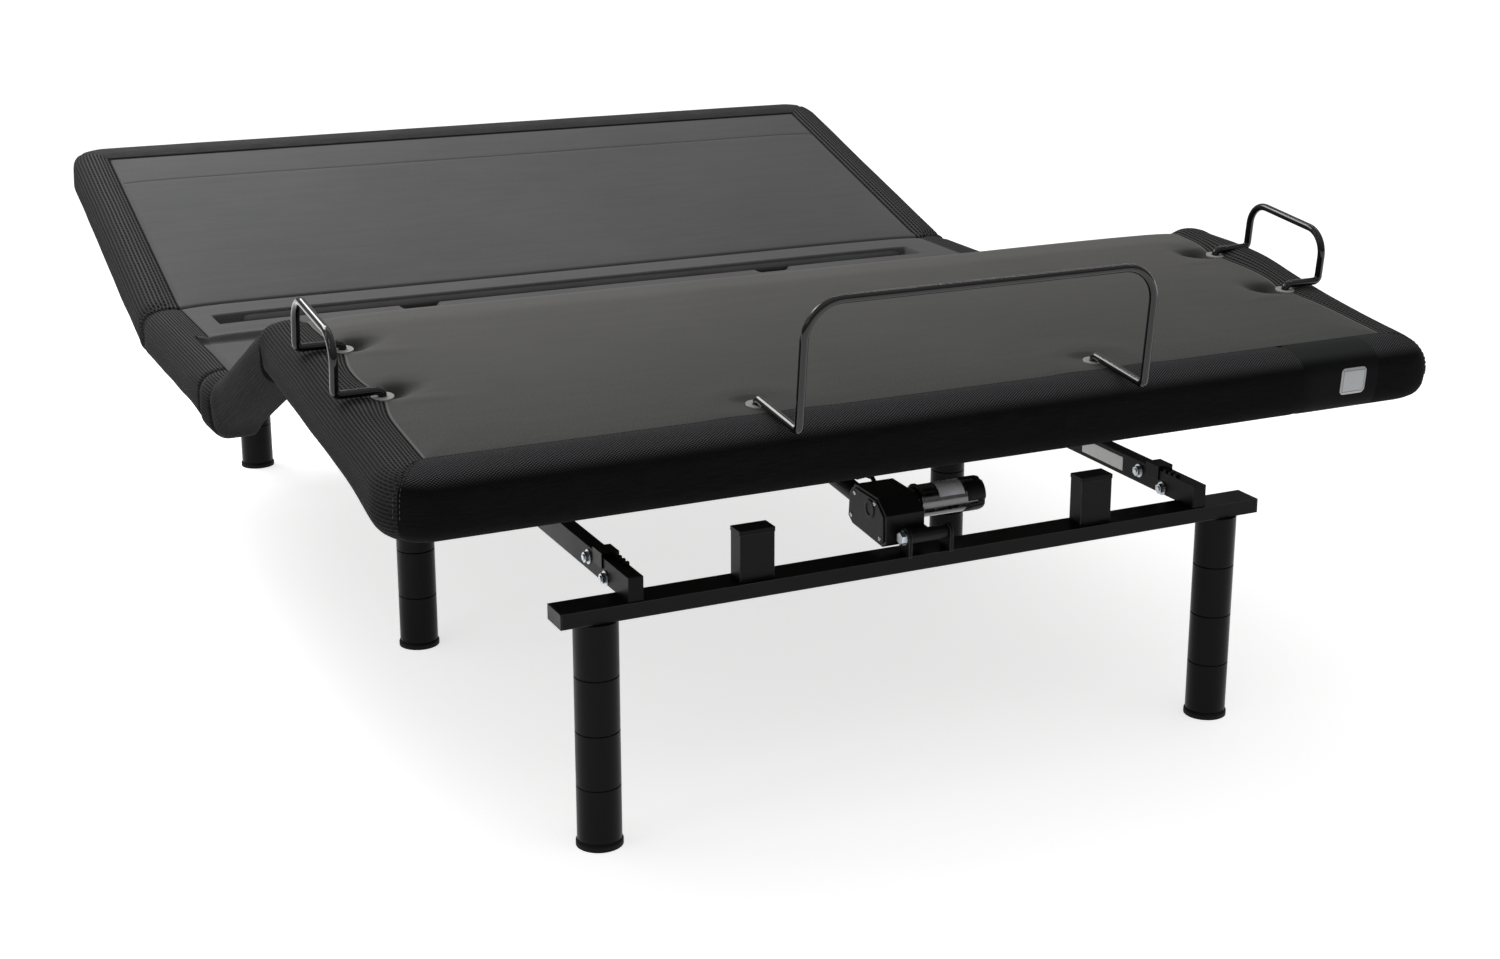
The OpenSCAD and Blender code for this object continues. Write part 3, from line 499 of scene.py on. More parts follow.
CLOTH = cover_cloth()
SIDE = side_knit()
# black knit, painted darker still: painted shade on the foot face, which is turned from the lights
FACE = fine_knit("foot_knit_shaded", (0.0018, 0.0018, 0.0020), (0.0052, 0.0052, 0.0055), 1.0)
# near-black cloth for the side rims' groove: painted shade
CREASE = plain_fabric("groove_shade_cloth", (0.0025, 0.0025, 0.0025), (0.006, 0.006, 0.006))
PATCH = patch_cloth()
BAR = fine_knit("bar_knit", (0.020, 0.020, 0.021), (0.042, 0.042, 0.043), 0.15)
HEAD_TOP = fine_knit("head_knit", (0.030, 0.030, 0.031), (0.056, 0.056, 0.057), 0.2, 0.95)
STEEL = steel()
SKIN = {
    "steel_black": STEEL,
    "plastic_black": plastic("black_plastic", (0.003, 0.003, 0.003), 0.30, shine=0.09),
    "rubber_black": plastic("black_rubber", (0.005, 0.005, 0.005), 0.6, 500.0, 0.0008, 0.3, 0.12),
    "zinc": metal("zinc", (0.62, 0.66, 0.70), 0.28),
    "label": plastic("label_paper", (0.62, 0.62, 0.60), 0.55),
    "plywood": ply(),
    "rod_gloss": gloss_rod(),
    "grommet": plastic("grommet_plastic", (0.34, 0.34, 0.33), 0.32),
    "roller_white": plastic("roller_plastic", (0.55, 0.55, 0.52), 0.45),
    "actuator_black": plastic("gearbox_plastic", (0.007, 0.007, 0.007), 0.42, 700.0, 0.0010, 0.25, 0.16),
    "motor_dark": metal("motor_steel", (0.17, 0.17, 0.174), 0.20),
}
for sp in record["subparts"]:
    mat = SKIN.get(sp["material_slot"])
    ob = frame["nodes"][sp["node"]]
    if mat is not None and ob.type == "MESH":
        ob.data.materials.clear()
        ob.data.materials.append(mat)

# ------------------------------------------------------------------ deck cover shape
# random plane waves as (along x, along s, phase, height); short ones are lower
WAVES = []
rng = np.random.default_rng(7)
for _ in range(26):
    k = rng.normal(0, 1, 2) * 9.0
    WAVES.append((k[0], k[1], rng.uniform(0, 2 * math.pi), rng.uniform(0.3, 1.0) / (4 + np.hypot(*k))))


def ripple(x, s):
    """Faint unevenness of cloth over foam."""
    h = np.zeros_like(x)
    for kx, ks, phase, height in WAVES:
        h += height * np.sin(kx * x + ks * s * 1.7 + phase)
    return h


def panel_w(x, s):
    """Height w of the top cloth."""
    edge = SEAM - np.abs(x)
    end = np.minimum(S_TOP_END - RIM - s, s - (S_FOOT_END + RIM))
    inside = np.minimum(edge, end)
    w = TOP + 0.0035 * (1 - np.exp(-np.maximum(inside, 0) / 0.03))
    w += ripple(x, s) * 0.0022 * smooth(inside / 0.08)
    # seat: a lower plain panel, then the raised pad with its channel
    seat = smooth((s - 0.006) / 0.012) * smooth((PAD_FRONT - s) / 0.010)
    w -= (w - LOWER) * seat
    w -= 0.0030 * bell(s - PAD_FRONT - 0.016, 0.0025) * smooth((edge - 0.004) / 0.01)
    channel = smooth((s - CHANNEL_LO + 0.004) / 0.008) * smooth((CHANNEL_HI + 0.004 - s) / 0.008)
    channel *= smooth((CHANNEL_HALF + 0.004 - np.abs(x - CHANNEL_X)) / 0.008)
    for cx in NOTCH_X:
        notch = smooth((0.034 - np.abs(x - cx)) / 0.014)
        notch = notch * smooth((s - (CHANNEL_LO - 0.022)) / 0.008) * smooth((CHANNEL_HI - s) / 0.01)
        channel = np.maximum(channel, notch)
    w -= (w - 0.0015) * channel
    # seam lines: cross seam, the step beyond it, panel edges
    head = smooth((s - S_HEAD - 0.01) / 0.02)
    w -= 0.0022 * bell(s - CROSS_SEAM, 0.0035) * head * smooth((inside - 0.001) / 0.004)
    w -= 0.0016 * head * (s > CROSS_SEAM) * smooth(inside / 0.01)
    w -= 0.0042 * head * bell(inside - 0.0015, 0.0024)
    # hinge creases
    w -= 0.0100 * bell(s - S_HEAD, 0.0042)
    w -= 0.0080 * bell(s, 0.006)
    w -= 0.0030 * bell(s - S_KNEE, 0.030)
    # grommets pull the cloth down; it swells between them
    for gx, gs in GROM_FOOT:
        r = np.hypot((x - gx) / 0.030, (s - gs) / 0.024)
        w -= (w - (TOP + 0.0004)) * np.exp(-(r ** 2))
        w += 0.0014 * bell(r - 2.0, 0.8)
    for gx, gs in GROM_SIDE:
        sx = math.copysign(1, gx)
        r = np.hypot((x - gx) / 0.040, (s - gs) / 0.024)
        w -= (w - (TOP + 0.0004)) * np.exp(-(r ** 2))
        d = sx * (gx - x)
        # a hollow runs inboard from the grommet, behind a low ridge
        hollow = bell(s - gs - 0.020 - 0.20 * (d - 0.021), 0.018)
        w -= 0.0155 * np.exp(-(((d - 0.021) / 0.025) ** 2)) * hollow
        ridge = bell(s - gs + 0.020 + 0.15 * d, 0.012)
        w += 0.0016 * np.exp(-(((d - 0.040) / 0.050) ** 2)) * ridge
    return w


def profile():
    """Rim section as (outward, height) from the seam round to the underside of the board."""
    top_r, low_r, hem_r = 0.026, 0.022, 0.008
    quarter = math.pi / 2
    pts = [(0, TOP), (0.0015, TOP - 0.0008), (0.0035, TOP - 0.0004)]
    pts += [(d, TOP) for d in (0.007, 0.012, 0.0160, 0.0175, 0.0190, 0.0205, 0.025, 0.031, RIM - top_r)]
    pts += [(RIM - top_r + top_r * math.sin(a), TOP - top_r + top_r * math.cos(a))
            for a in np.linspace(0, quarter, 10)[1:]]
    pts += [(RIM, z) for z in (-0.013, -0.020, -0.027, LOW + low_r)]
    pts += [(RIM - low_r + low_r * math.cos(a), LOW + low_r - low_r * math.sin(a))
            for a in np.linspace(0, quarter, 8)[1:]]
    pts += [(d, LOW) for d in (0.030, 0.020, 0.012)]
    pts += [(hem_r - hem_r * math.sin(a), LOW + hem_r - hem_r * math.cos(a))
            for a in np.linspace(0, quarter, 4)[1:]]
    pts += [(0.0, z) for z in (-0.036, -0.025, -0.0156)]
    return np.array(pts)


PROFILE = profile()
OUTWARD, HEIGHT = PROFILE[:, 0], PROFILE[:, 1]
ARC = np.concatenate([[0], np.cumsum(np.hypot(*np.diff(PROFILE, axis=0).T))])


def rim_points(base_x, base_s, dx, ds, along):
    """One rim station: profile points in flat deck coordinates, with their cloth coordinates."""
    d = OUTWARD
    # the rim's top follows the panel's edge: softly where the edge is high, in a step where it is low
    drop = float(panel_w(np.array([base_x]), np.array([base_s]))[0]) - TOP
    step = float(smooth((-drop - 0.003) / 0.004))
    share = (1 - step) * smooth((0.02 - d) / 0.02) + step * smooth((0.0205 - d) / 0.0035)
    above = HEIGHT > 0.0
    w = HEIGHT + drop * share * above - 0.0045 * step * bell(d - 0.0182, 0.0016) * above
    crown = 0.0026 * np.sin(np.clip(d / 0.040, 0, 1) * math.pi) * (HEIGHT > 0.015) * (1 - step * (d < 0.0195))
    side = 1.0 + 0.022 * np.sin(np.clip((0.02 - w) / 0.075, 0, 1) * math.pi)
    soft = ripple(base_x * 3 + d * 4, base_s * 3 + w * 6) * 0.0016
    reach = d * side + soft * (d > 0.02)
    points = np.stack([base_x + reach * dx, base_s + reach * ds, w + crown], 1)
    return points, np.stack([np.full_like(d, along), ARC], 1)


def fold_shape(p, s0):
    """Creases, wrinkles and bulges of the side rims at the hinges, in flat coordinates."""
    x, s, w = p[:, 0], p[:, 1], p[:, 2]
    out = np.maximum(np.abs(x) - SEAM, 0)
    low = smooth((w + 0.052) / 0.020)
    depth = np.clip(TOP - w, 0, 0.075)
    crease = bell(s0, 0.0040) * 0.010 * low
    crease = crease + bell(s0 - SIDE_CREASE, 0.0046) * 0.018 * smooth((out - 0.012) / 0.010)
    # the head hinge gathers the knit in slanting wrinkles
    crease = crease + bell(s0 - S_HEAD + 0.004, 0.0038) * 0.0055 * smooth(out / 0.02)
    crease = crease + bell(s0 - S_HEAD - 0.013 + 0.22 * depth, 0.0050) * 0.0042 * smooth(out / 0.03)
    crease = crease + bell(s0 - S_HEAD + 0.022 - 0.25 * depth, 0.0050) * 0.0036 * smooth(out / 0.04)
    x -= np.sign(x) * crease * smooth(out / 0.05) * (w > LOW)
    w -= crease * 0.9 * smooth(w / 0.02)
    # foam bulges beside a crease
    bulge = (bell(s0 - 0.034, 0.022) * 0.0050 + bell(s0 + 0.028, 0.022) * 0.0025) * smooth(out / 0.04) * low
    bulge = bulge + bell(s0 - S_HEAD - 0.004, 0.006) * 0.002 * smooth(out / 0.03)
    x += np.sign(x) * bulge
    w += bulge * 0.6 * smooth(w / 0.02)
    return np.stack([x, s, w], 1)


def drape(p):
    """How the covers hang, sag and swell on their rims, in flat coordinates."""
    x, s, w = p[:, 0].copy(), p[:, 1].copy(), p[:, 2].copy()
    side = np.abs(x)
    # the foot end hangs deeper than the side borders, the left border less deep near the knee
    left = x < -SEAM
    reach = np.where(left, 0.14, 0.30)
    hang = 0.20 * smooth((S_FOOT_END + reach - s) / (reach * 0.8))
    hang = hang - 0.20 * smooth((S_KNEE + 0.02 - s) / 0.05) * smooth((s - S_FOOT_END - 0.06) / 0.12) * left
    # the left border sags into the valley before the thigh hinge
    hang = hang + 0.22 * bell(s - 0.035, 0.055) * left
    w = np.where(w < -0.010, -0.010 + (w + 0.010) * (1 + hang), w)
    # grommets draw the side seams in
    pull = sum(bell(s - gs, 0.046) for _, gs in GROM_SIDE[:2]) * 0.011
    pull = pull * np.exp(-(((side - SEAM) / 0.024) ** 2)) * (w > 0)
    # the right border swells beyond the knee and leans outwards towards its corner
    out = smooth((x - SEAM) / 0.03)
    swell = bell(s - S_KNEE + 0.135, 0.105) * out
    spread = smooth((S_FOOT_END + 0.32 - s) / 0.26) * out
    w = w + 0.009 * swell * (w > -0.03) - 0.011 * spread * smooth((x - 0.700) / 0.05) * (w > -0.02)
    x = x - np.sign(x) * pull + 0.006 * swell + spread * (0.004 + 0.005 * smooth((0.01 - w) / 0.04))
    # the head corners are squarer than their foam
    corner = smooth((side - 0.70) / 0.04) * smooth((s - S_TOP_END + 0.05) / 0.04)
    x, s = x + np.sign(x) * 0.006 * corner, s + 0.005 * corner
    return np.stack([x, s, w], 1)


def axis_lines(points, lo, hi, step, least):
    """Positions from lo to hi about step apart, more round each of points, none closer than least."""
    v = list(np.linspace(lo, hi, max(2, int(round((hi - lo) / step)) + 1)))
    for middle, offsets in points:
        v += [middle + o for o in offsets if lo < middle + o < hi]
    v = np.unique(np.round(v, 6))
    keep = [v[0]]
    for q in v[1:]:
        if q - keep[-1] > least or q == v[-1]:
            keep.append(q)
    return np.array(keep)


def mm(*values):
    """Millimetres as metres."""
    return [v / 1000 for v in values]


NEAR = mm(-14, -10, -7, -5, -3.5, -2, -1, 0, 1, 2, 3.5, 5, 7, 10, 14)
INWARD = mm(1.5, 4, 8, 14, 22, 34, 48)
RING = mm(*range(-36, 37, 6))
NOTCH = mm(-34, -29, -25, -20, 20, 25, 29, 34)
S_LINES = [(s, NEAR) for s in (0, SIDE_CREASE, S_HEAD, S_KNEE, PAD_FRONT, CHANNEL_LO, CHANNEL_HI, CROSS_SEAM)]
S_LINES += [(gs, mm(*range(-40, 41, 4))) for _, gs in GROM_FOOT[:1] + GROM_SIDE[:2]]
X_LINES = [(-SEAM, INWARD), (SEAM, [-o for o in INWARD])]
X_LINES += [(gx, RING) for gx, _ in GROM_FOOT]
X_LINES += [(CHANNEL_X - CHANNEL_HALF, NEAR), (CHANNEL_X + CHANNEL_HALF, NEAR)]
X_LINES += [(cx, NOTCH) for cx in NOTCH_X]
X_LINES += [(PATCH_X[0], [0, 0.003]), (PATCH_X[1], [0])]
SLIT = math.tan(math.radians(23.5))  # lean of the rim's stations on both sides of the knee's slit
SLIT_FADE = 0.060
COVER_SKINS = [CLOTH, SIDE, FACE, CREASE, PATCH, HEAD_TOP]
ON_CLOTH, ON_SIDE, ON_FACE, ON_CREASE, ON_PATCH, ON_HEAD = range(len(COVER_SKINS))


def side_mat(s, i):
    """Material of a side-rim face: top cloth on the lower seat panel's lap, near-black cloth in the groove as
    painted shade.
    """
    d = (OUTWARD[i] + OUTWARD[i + 1]) / 2
    if 0.010 < s < PAD_FRONT and d < 0.0175 and HEIGHT[i] > 0.015:
        return ON_CLOTH
    # the groove's faces take the near-black cloth: painted shade
    if abs(s - SIDE_CREASE) < 0.0042 and d > 0.018 and HEIGHT[i] > -0.045:
        return ON_CREASE
    return ON_SIDE


class CoverMesh:
    """Grids of points that share one list of vertices."""

    def __init__(self):
        self.verts, self.uvs, self.faces, self.index = [], [], [], []
        self.count = 0

    def grid(self, rows, mat_of):
        """rows holds (points, uvs) of equal length; mat_of(row, column) gives a face's material."""
        n = len(rows[0][0])
        for p, uv in rows:
            self.verts.append(p)
            self.uvs.append(uv)
        for j in range(len(rows) - 1):
            for i in range(n - 1):
                q = self.count + j * n + i
                self.faces.append((q, q + 1, q + n + 1, q + n))
                self.index.append(mat_of(j, i))
        self.count += n * len(rows)


def side_station(sx, s, slit=0.0, collapse=False):
    """One section of a side rim; slit leans its lower part, collapse folds that part away."""
    p, uv = rim_points(sx * SEAM, s, sx, 0.0, s)
    p = fold_shape(p, s)
    below = np.maximum(-p[:, 2] - 0.002, 0)
    if collapse:
        p[:, 2] = np.maximum(p[:, 2], -0.002)
    p[:, 1] += slit * below * SLIT
    return p, uv


def side_rim(mesh, sx, places):
    """The side rim through all places, with its lower part slit at the knee."""
    stations = []
    for s in places:
        d = s - S_KNEE
        if abs(d) < 1e-6:
            stations.append(side_station(sx, s - 0.0002, -1.0))
            stations.append(side_station(sx, s, 0.0, True))
            stations.append(side_station(sx, s + 0.0002, 1.0))
        else:
            stations.append(side_station(sx, s, math.copysign(max(0.0, 1 - abs(d) / SLIT_FADE), d)))
    if sx < 0:
        stations = stations[::-1]
    at = [float(uv[0, 0]) for _, uv in stations]
    mesh.grid(stations, lambda j, i: side_mat((at[j] + at[j + 1]) / 2, i))


def corner(sx, s_base, ds, steps):
    """The rim round one corner, from the side to the end, with the groove of its mitred seam."""
    stations = []
    d = OUTWARD
    flat = 1 - np.clip(smooth((d - 0.030) / 0.030) + (HEIGHT < -0.01), 0, 1)
    depth, width = (0.0022, 0.045) if ds < 0 else (0.0012, 0.05)
    for k in range(steps + 1):
        t = (k / steps) * math.pi / 2
        px, ps = sx * math.cos(t), ds * math.sin(t)
        p, uv = rim_points(sx * SEAM, s_base, px, ps, 0.0)
        # each half's knit runs on from its own straight stretch
        if t < math.pi / 4 + 1e-6:
            uv = np.stack([s_base + ds * d * math.sin(t), ARC - d * (1 - math.cos(t)) * flat], 1)
        else:
            uv = np.stack([sx * (SEAM + d * math.cos(t)), ARC - d * (1 - math.sin(t)) * flat], 1)
        groove = depth * bell(t - math.pi / 4, width)
        p[:, 0] -= groove * px * (d > 0.03)
        p[:, 1] -= groove * ps * (d > 0.03)
        p[:, 2] -= groove * (HEIGHT > 0.005) * (d > 0.0)
        stations.append((p, uv))
    return stations


def end_rim(mesh, s_base, ds, places):
    """The rim across a free end and round its two corners."""
    steps = 14
    half = steps // 2
    face = ON_FACE if ds < 0 else ON_HEAD
    middle = []
    for x in places:
        p, uv = rim_points(x, s_base, 0.0, ds, x)
        if ds < 0:
            sew = 0.0022 * math.exp(-(((x - PATCH_X[0] - 0.0015) / 0.0022) ** 2))
            p[:, 1] += sew * (OUTWARD > 0.03)
            p[:, 2] -= sew * (HEIGHT > 0.005)
        middle.append((p, uv))

    def middle_mat(j, i):
        x = (places[j] + places[j + 1]) / 2
        return ON_PATCH if ds < 0 and PATCH_X[0] < x < PATCH_X[1] else face

    mesh.grid(corner(-1, s_base, ds, steps), lambda j, i: ON_SIDE if j < half else face)
    mesh.grid(middle, middle_mat)
    mesh.grid(corner(1, s_base, ds, steps)[::-1], lambda j, i: face if j < half else ON_SIDE)


def cover(name, s_lo, s_hi, end_lo, end_hi):
    """A fabric cover between two places along the flat deck, closed round its free end if it has one."""
    a = s_lo + RIM if end_lo else s_lo
    b = s_hi - RIM if end_hi else s_hi
    ends = [(a, INWARD[:5])] if end_lo else []
    ends += [(b, [-o for o in INWARD[:5]])] if end_hi else []
    along = axis_lines(S_LINES + ends, a, b, 0.011, 0.0007)
    across = axis_lines(X_LINES, -SEAM, SEAM, 0.014, 0.0012)
    mesh = CoverMesh()
    panel = []
    for s in along:
        row = np.full_like(across, s)
        panel.append((np.stack([across, row, panel_w(across, row)], 1), np.stack([across, row], 1)))
    mesh.grid(panel, lambda j, i: ON_CLOTH)
    for sx in (-1, 1):
        side_rim(mesh, sx, along)
    if end_lo:
        end_rim(mesh, a, -1.0, across)
    if end_hi:
        end_rim(mesh, b, 1.0, across)
    points = to_rest(drape(np.concatenate(mesh.verts)))
    return weld(new_object(name, points, mesh.faces, COVER_SKINS, mesh.index, np.concatenate(mesh.uvs)))


CUT_SEAT, CUT_THIGH = 0.240, -0.186  # where one cover ends and the next begins
head_cover = cover("head_cover", CUT_SEAT, S_TOP_END, False, True)
seat_cover = cover("seat_cover", CUT_THIGH, CUT_SEAT, False, False)
foot_cover = cover("foot_cover", S_FOOT_END, CUT_THIGH, True, False)


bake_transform(head_cover)
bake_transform(seat_cover)
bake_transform(foot_cover)
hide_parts("head_foam", "head_rim_foam")
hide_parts("seat_foam", "seat_rim_foam", "thigh_foam", "thigh_rim_foam")
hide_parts("foot_foam", "foot_rim_foam")


def channel_bar():
    """The padded bar in the seat's channel: a flattened tube, a little uneven, with round ends."""
    x0, x1 = -0.612, 0.592
    s0, s1 = CHANNEL_LO + 0.014, CHANNEL_HI - 0.006
    height, half_height, end_r, girth = 0.0130, 0.0092, 0.015, 0.09
    n_len, ring = 160, 18
    verts, uvs, faces = [], [], []
    for j in range(n_len + 1):
        t = j / n_len
        x = x0 + (x1 - x0) * t
        from_end = min(t, 1 - t) * (x1 - x0)
        cap = math.sqrt(1 - (1 - min(1.0, from_end / end_r)) ** 2)
        half_s = (s1 - s0) / 2 * (1 + 0.05 * math.sin(x * 31) + 0.03 * math.sin(x * 57 + 1))
        for i in range(ring):
            a = 2 * math.pi * i / ring
            ca, sa = math.cos(a), math.sin(a)
            ds = math.copysign(abs(ca) ** 0.7, ca) * half_s * cap
            dw = math.copysign(abs(sa) ** 0.7, sa) * half_height * cap
            verts.append((x, (s0 + s1) / 2 + ds, height + dw))
            uvs.append((x, a / (2 * math.pi) * girth))
    for j in range(n_len):
        for i in range(ring):
            q, r = j * ring + i, j * ring + (i + 1) % ring
            faces.append((q, r, r + ring, q + ring))
    return weld(new_object("channel_pad", to_rest(np.array(verts)), faces, [BAR], None, uvs))


bar = channel_bar()
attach(bar, "base")
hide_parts("seat_channel_bar")


# ------------------------------------------------------------------ small pieces
MOTOR_Y, MOTOR_Z = 0.062, 0.019  # the motor's axis, from its actuator's rear pivot
MOTOR_R = 0.0220
PLATE_X = -0.028  # the gearbox's flat side
FOIL = 0.0003


def circle_points(x, y, z, r, seg):
    """A circle about an axis along x."""
    turns = [2 * math.pi * i / seg for i in range(seg)]
    return [(x, y + r * math.cos(a), z + r * math.sin(a)) for a in turns]


def ring_faces(first, rings, seg):
    """Faces between closed rings of seg points each."""
    faces = []
    for j in range(rings - 1):
        for i in range(seg):
            q, k = first + j * seg + i, first + j * seg + (i + 1) % seg
            faces.append((q, k, k + seg, q + seg))
    return faces


def motor_tube(stations, seg, start=0.0, end=2 * math.pi, notch=None):
    """A tube or part of one round the motor's axis, through (x, radius) stations."""
    closed = abs(end - start - 2 * math.pi) < 1e-6
    n = seg if closed else seg + 1
    pts, uvs, faces = [], [], []
    for x, r in stations:
        for i in range(n):
            a = start + (end - start) * i / seg
            q = r * (1 - (notch(a) if notch else 0.0))
            pts.append((x, MOTOR_Y - q * math.cos(a), MOTOR_Z + q * math.sin(a)))
            uvs.append((x, a * r))
    for j in range(len(stations) - 1):
        for i in range(seg):
            q, k = j * n + i, j * n + (i + 1) % n
            faces.append((q, k, k + n, q + n))
    return pts, faces, uvs


def cap_notch(a):
    """Depth of the end cap's four flutes at angle a, as a share of its radius."""
    return 0.10 * max(0.0, math.cos(a * 4 + 0.6)) ** 6


def add_disc(pts, faces, y, z, stations, seg):
    """A turned boss on the gearbox's side, through (height, radius) stations, closed on top."""
    first = len(pts)
    for h, r in stations:
        pts += circle_points(PLATE_X - 0.0018 - h, y, z, r, seg)
    faces += ring_faces(first, len(stations), seg)
    faces.append(tuple(range(len(pts) - seg, len(pts))))


def side_plate():
    """Side cover of the gearbox: an inset plate with a round boss."""
    outline = [(0.021, -0.012), (0.029, -0.0175), (0.107, -0.0175), (0.117, -0.0125),
               (0.117, 0.0185), (0.105, 0.0320), (0.047, 0.0360), (0.0255, 0.0215)]
    cy, cz = 0.069, 0.009
    pts = []
    for x, k in ((PLATE_X + 0.0002, 1.0), (PLATE_X - 0.0014, 1.0), (PLATE_X - 0.0020, 0.985)):
        pts += [(x, cy + (y - cy) * k, cz + (z - cz) * k) for y, z in outline]
    faces = ring_faces(0, 3, len(outline))
    faces.append(tuple(range(2 * len(outline), 3 * len(outline))))
    boss = [(0.0, 0.0130), (0.0012, 0.0128), (0.0015, 0.0120), (0.0015, 0.0085), (0.0004, 0.0080)]
    add_disc(pts, faces, MOTOR_Y, MOTOR_Z, boss, 32)
    return pts, faces, [(p[1], p[2]) for p in pts]


def plate_screws():
    """Four screws with a round recess in the gearbox's side cover."""
    pts, faces = [], []
    head = [(-0.0006, 0.0030), (0.0008, 0.0030), (0.0012, 0.0024), (0.0012, 0.0013), (0.0003, 0.0012)]
    for y, z in ((0.031, -0.011), (0.111, -0.009), (0.050, 0.0305), (0.105, 0.0245)):
        add_disc(pts, faces, y, z, head, 16)
    return pts, faces, [(p[1], p[2]) for p in pts]


def actuator_dress(name, body, pivot, slide):
    """Motor label, end cap, collar and gearbox cover of one actuator, set out from its rear pivot."""
    origin = Vector(joints[pivot]["pos_m"])
    ax_y = Vector(joints[slide]["axis"]).normalized()
    if ax_y.y < 0:
        ax_y = -ax_y
    ax_x = Vector((1.0, 0.0, 0.0))
    ax_z = ax_x.cross(ax_y)

    def piece(label, shape, mat):
        pts, faces, uvs = shape
        placed = [origin + ax_x * p[0] + ax_y * p[1] + ax_z * p[2] for p in pts]
        ob = weld(new_object(f"{name}_{label}", placed, faces, [mat], None, uvs))
        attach(ob, body)
        return ob

    # the label wraps the upper front of the can
    label = [(0.0640, MOTOR_R), (0.0641, MOTOR_R + FOIL), (0.1019, MOTOR_R + FOIL), (0.1020, MOTOR_R)]
    piece("label", motor_tube(label, 20, math.radians(28), math.radians(126)), TAG)
    cap = [(0.1065, 0.0221), (0.1068, 0.0232), (0.1150, 0.0234), (0.1300, 0.0232), (0.1336, 0.0222),
           (0.1345, 0.0200), (0.1352, 0.0150), (0.1355, 0.0001)]
    piece("cap", motor_tube(cap, 64, notch=cap_notch), SKIN["actuator_black"])
    collar = [(0.0362, 0.0200), (0.0362, 0.0236), (0.0366, 0.0240), (0.0396, 0.0240), (0.0400, 0.0236),
              (0.0400, 0.0219)]
    piece("collar", motor_tube(collar, 48), SKIN["motor_dark"])
    plate = piece("side_plate", side_plate(), SKIN["actuator_black"])
    plate.data.polygons.foreach_set("use_smooth", [False] * len(plate.data.polygons))
    piece("screws", plate_screws(), SKIN["zinc"])


TAG = plastic("foil_tag", (0.52, 0.52, 0.54), 0.3)
actuator_dress("leg", "leg_actuator", "leg_actuator_pivot", "leg_rod_slide")
actuator_dress("head", "head_actuator", "head_actuator_pivot", "head_rod_slide")


def stitch_points(middle, axis, out):
    """One stitch: a short spindle of six-sided rings along axis, resting on the cloth."""
    half_length, r = 0.0021, 0.00055
    cross = axis.cross(out).normalized()
    out = cross.cross(axis)
    pts = []
    for h, k in ((-1.0, 0.15), (-0.7, 0.8), (0.0, 1.0), (0.7, 0.8), (1.0, 0.15)):
        for i in range(6):
            a = 2 * math.pi * i / 6
            v = middle + axis * (half_length * h) + cross * (r * k * math.cos(a))
            pts.append(tuple(v + out * (0.0004 + r * k * math.sin(a))))
    return pts


def corner_stitches():
    """Two rows of stitches beside the mitred seam at each foot corner."""
    pts, faces, uvs = [], [], []
    s_base = S_FOOT_END + RIM
    keep = (OUTWARD > 0.008) & (HEIGHT > -0.034)
    for sx in (-1, 1):
        inner = np.array((sx * (SEAM + 0.030), s_base - 0.030, -0.010))
        for off in (-0.0036, 0.0036):
            t = math.pi / 4 + off / 0.055
            p, _ = rim_points(sx * SEAM, s_base, sx * math.cos(t), -math.sin(t), 0.0)
            line = p[keep]
            arc = np.concatenate([[0], np.cumsum(np.linalg.norm(np.diff(line, axis=0), axis=1))])
            for c in np.arange(0.004, arc[-1] - 0.004, 0.0062):
                ends = [np.array([np.interp(c + h, arc, line[:, k]) for k in range(3)])
                        for h in (-0.0019, 0.0019)]
                middle = (ends[0] + ends[1]) / 2
                axis = Vector(ends[1] - ends[0]).normalized()
                first = len(pts)
                pts += stitch_points(Vector(middle), axis, Vector(middle - inner).normalized())
                uvs += [(c + h * 0.002, 2 * math.pi * i / 6 * 0.0006)
                        for h in (-1.0, -0.7, 0.0, 0.7, 1.0) for i in range(6)]
                faces += ring_faces(first, 5, 6)
                faces.append(tuple(range(first, first + 6)))
                faces.append(tuple(range(first + 24, first + 30)))
    ob = weld(new_object("corner_stitches", to_rest(drape(np.array(pts))), faces, [THREAD], None, uvs), 1e-7)
    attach(ob, "foot")


THREAD = plain_fabric("thread", (0.030, 0.030, 0.030), (0.060, 0.060, 0.060), 0.6)
corner_stitches()


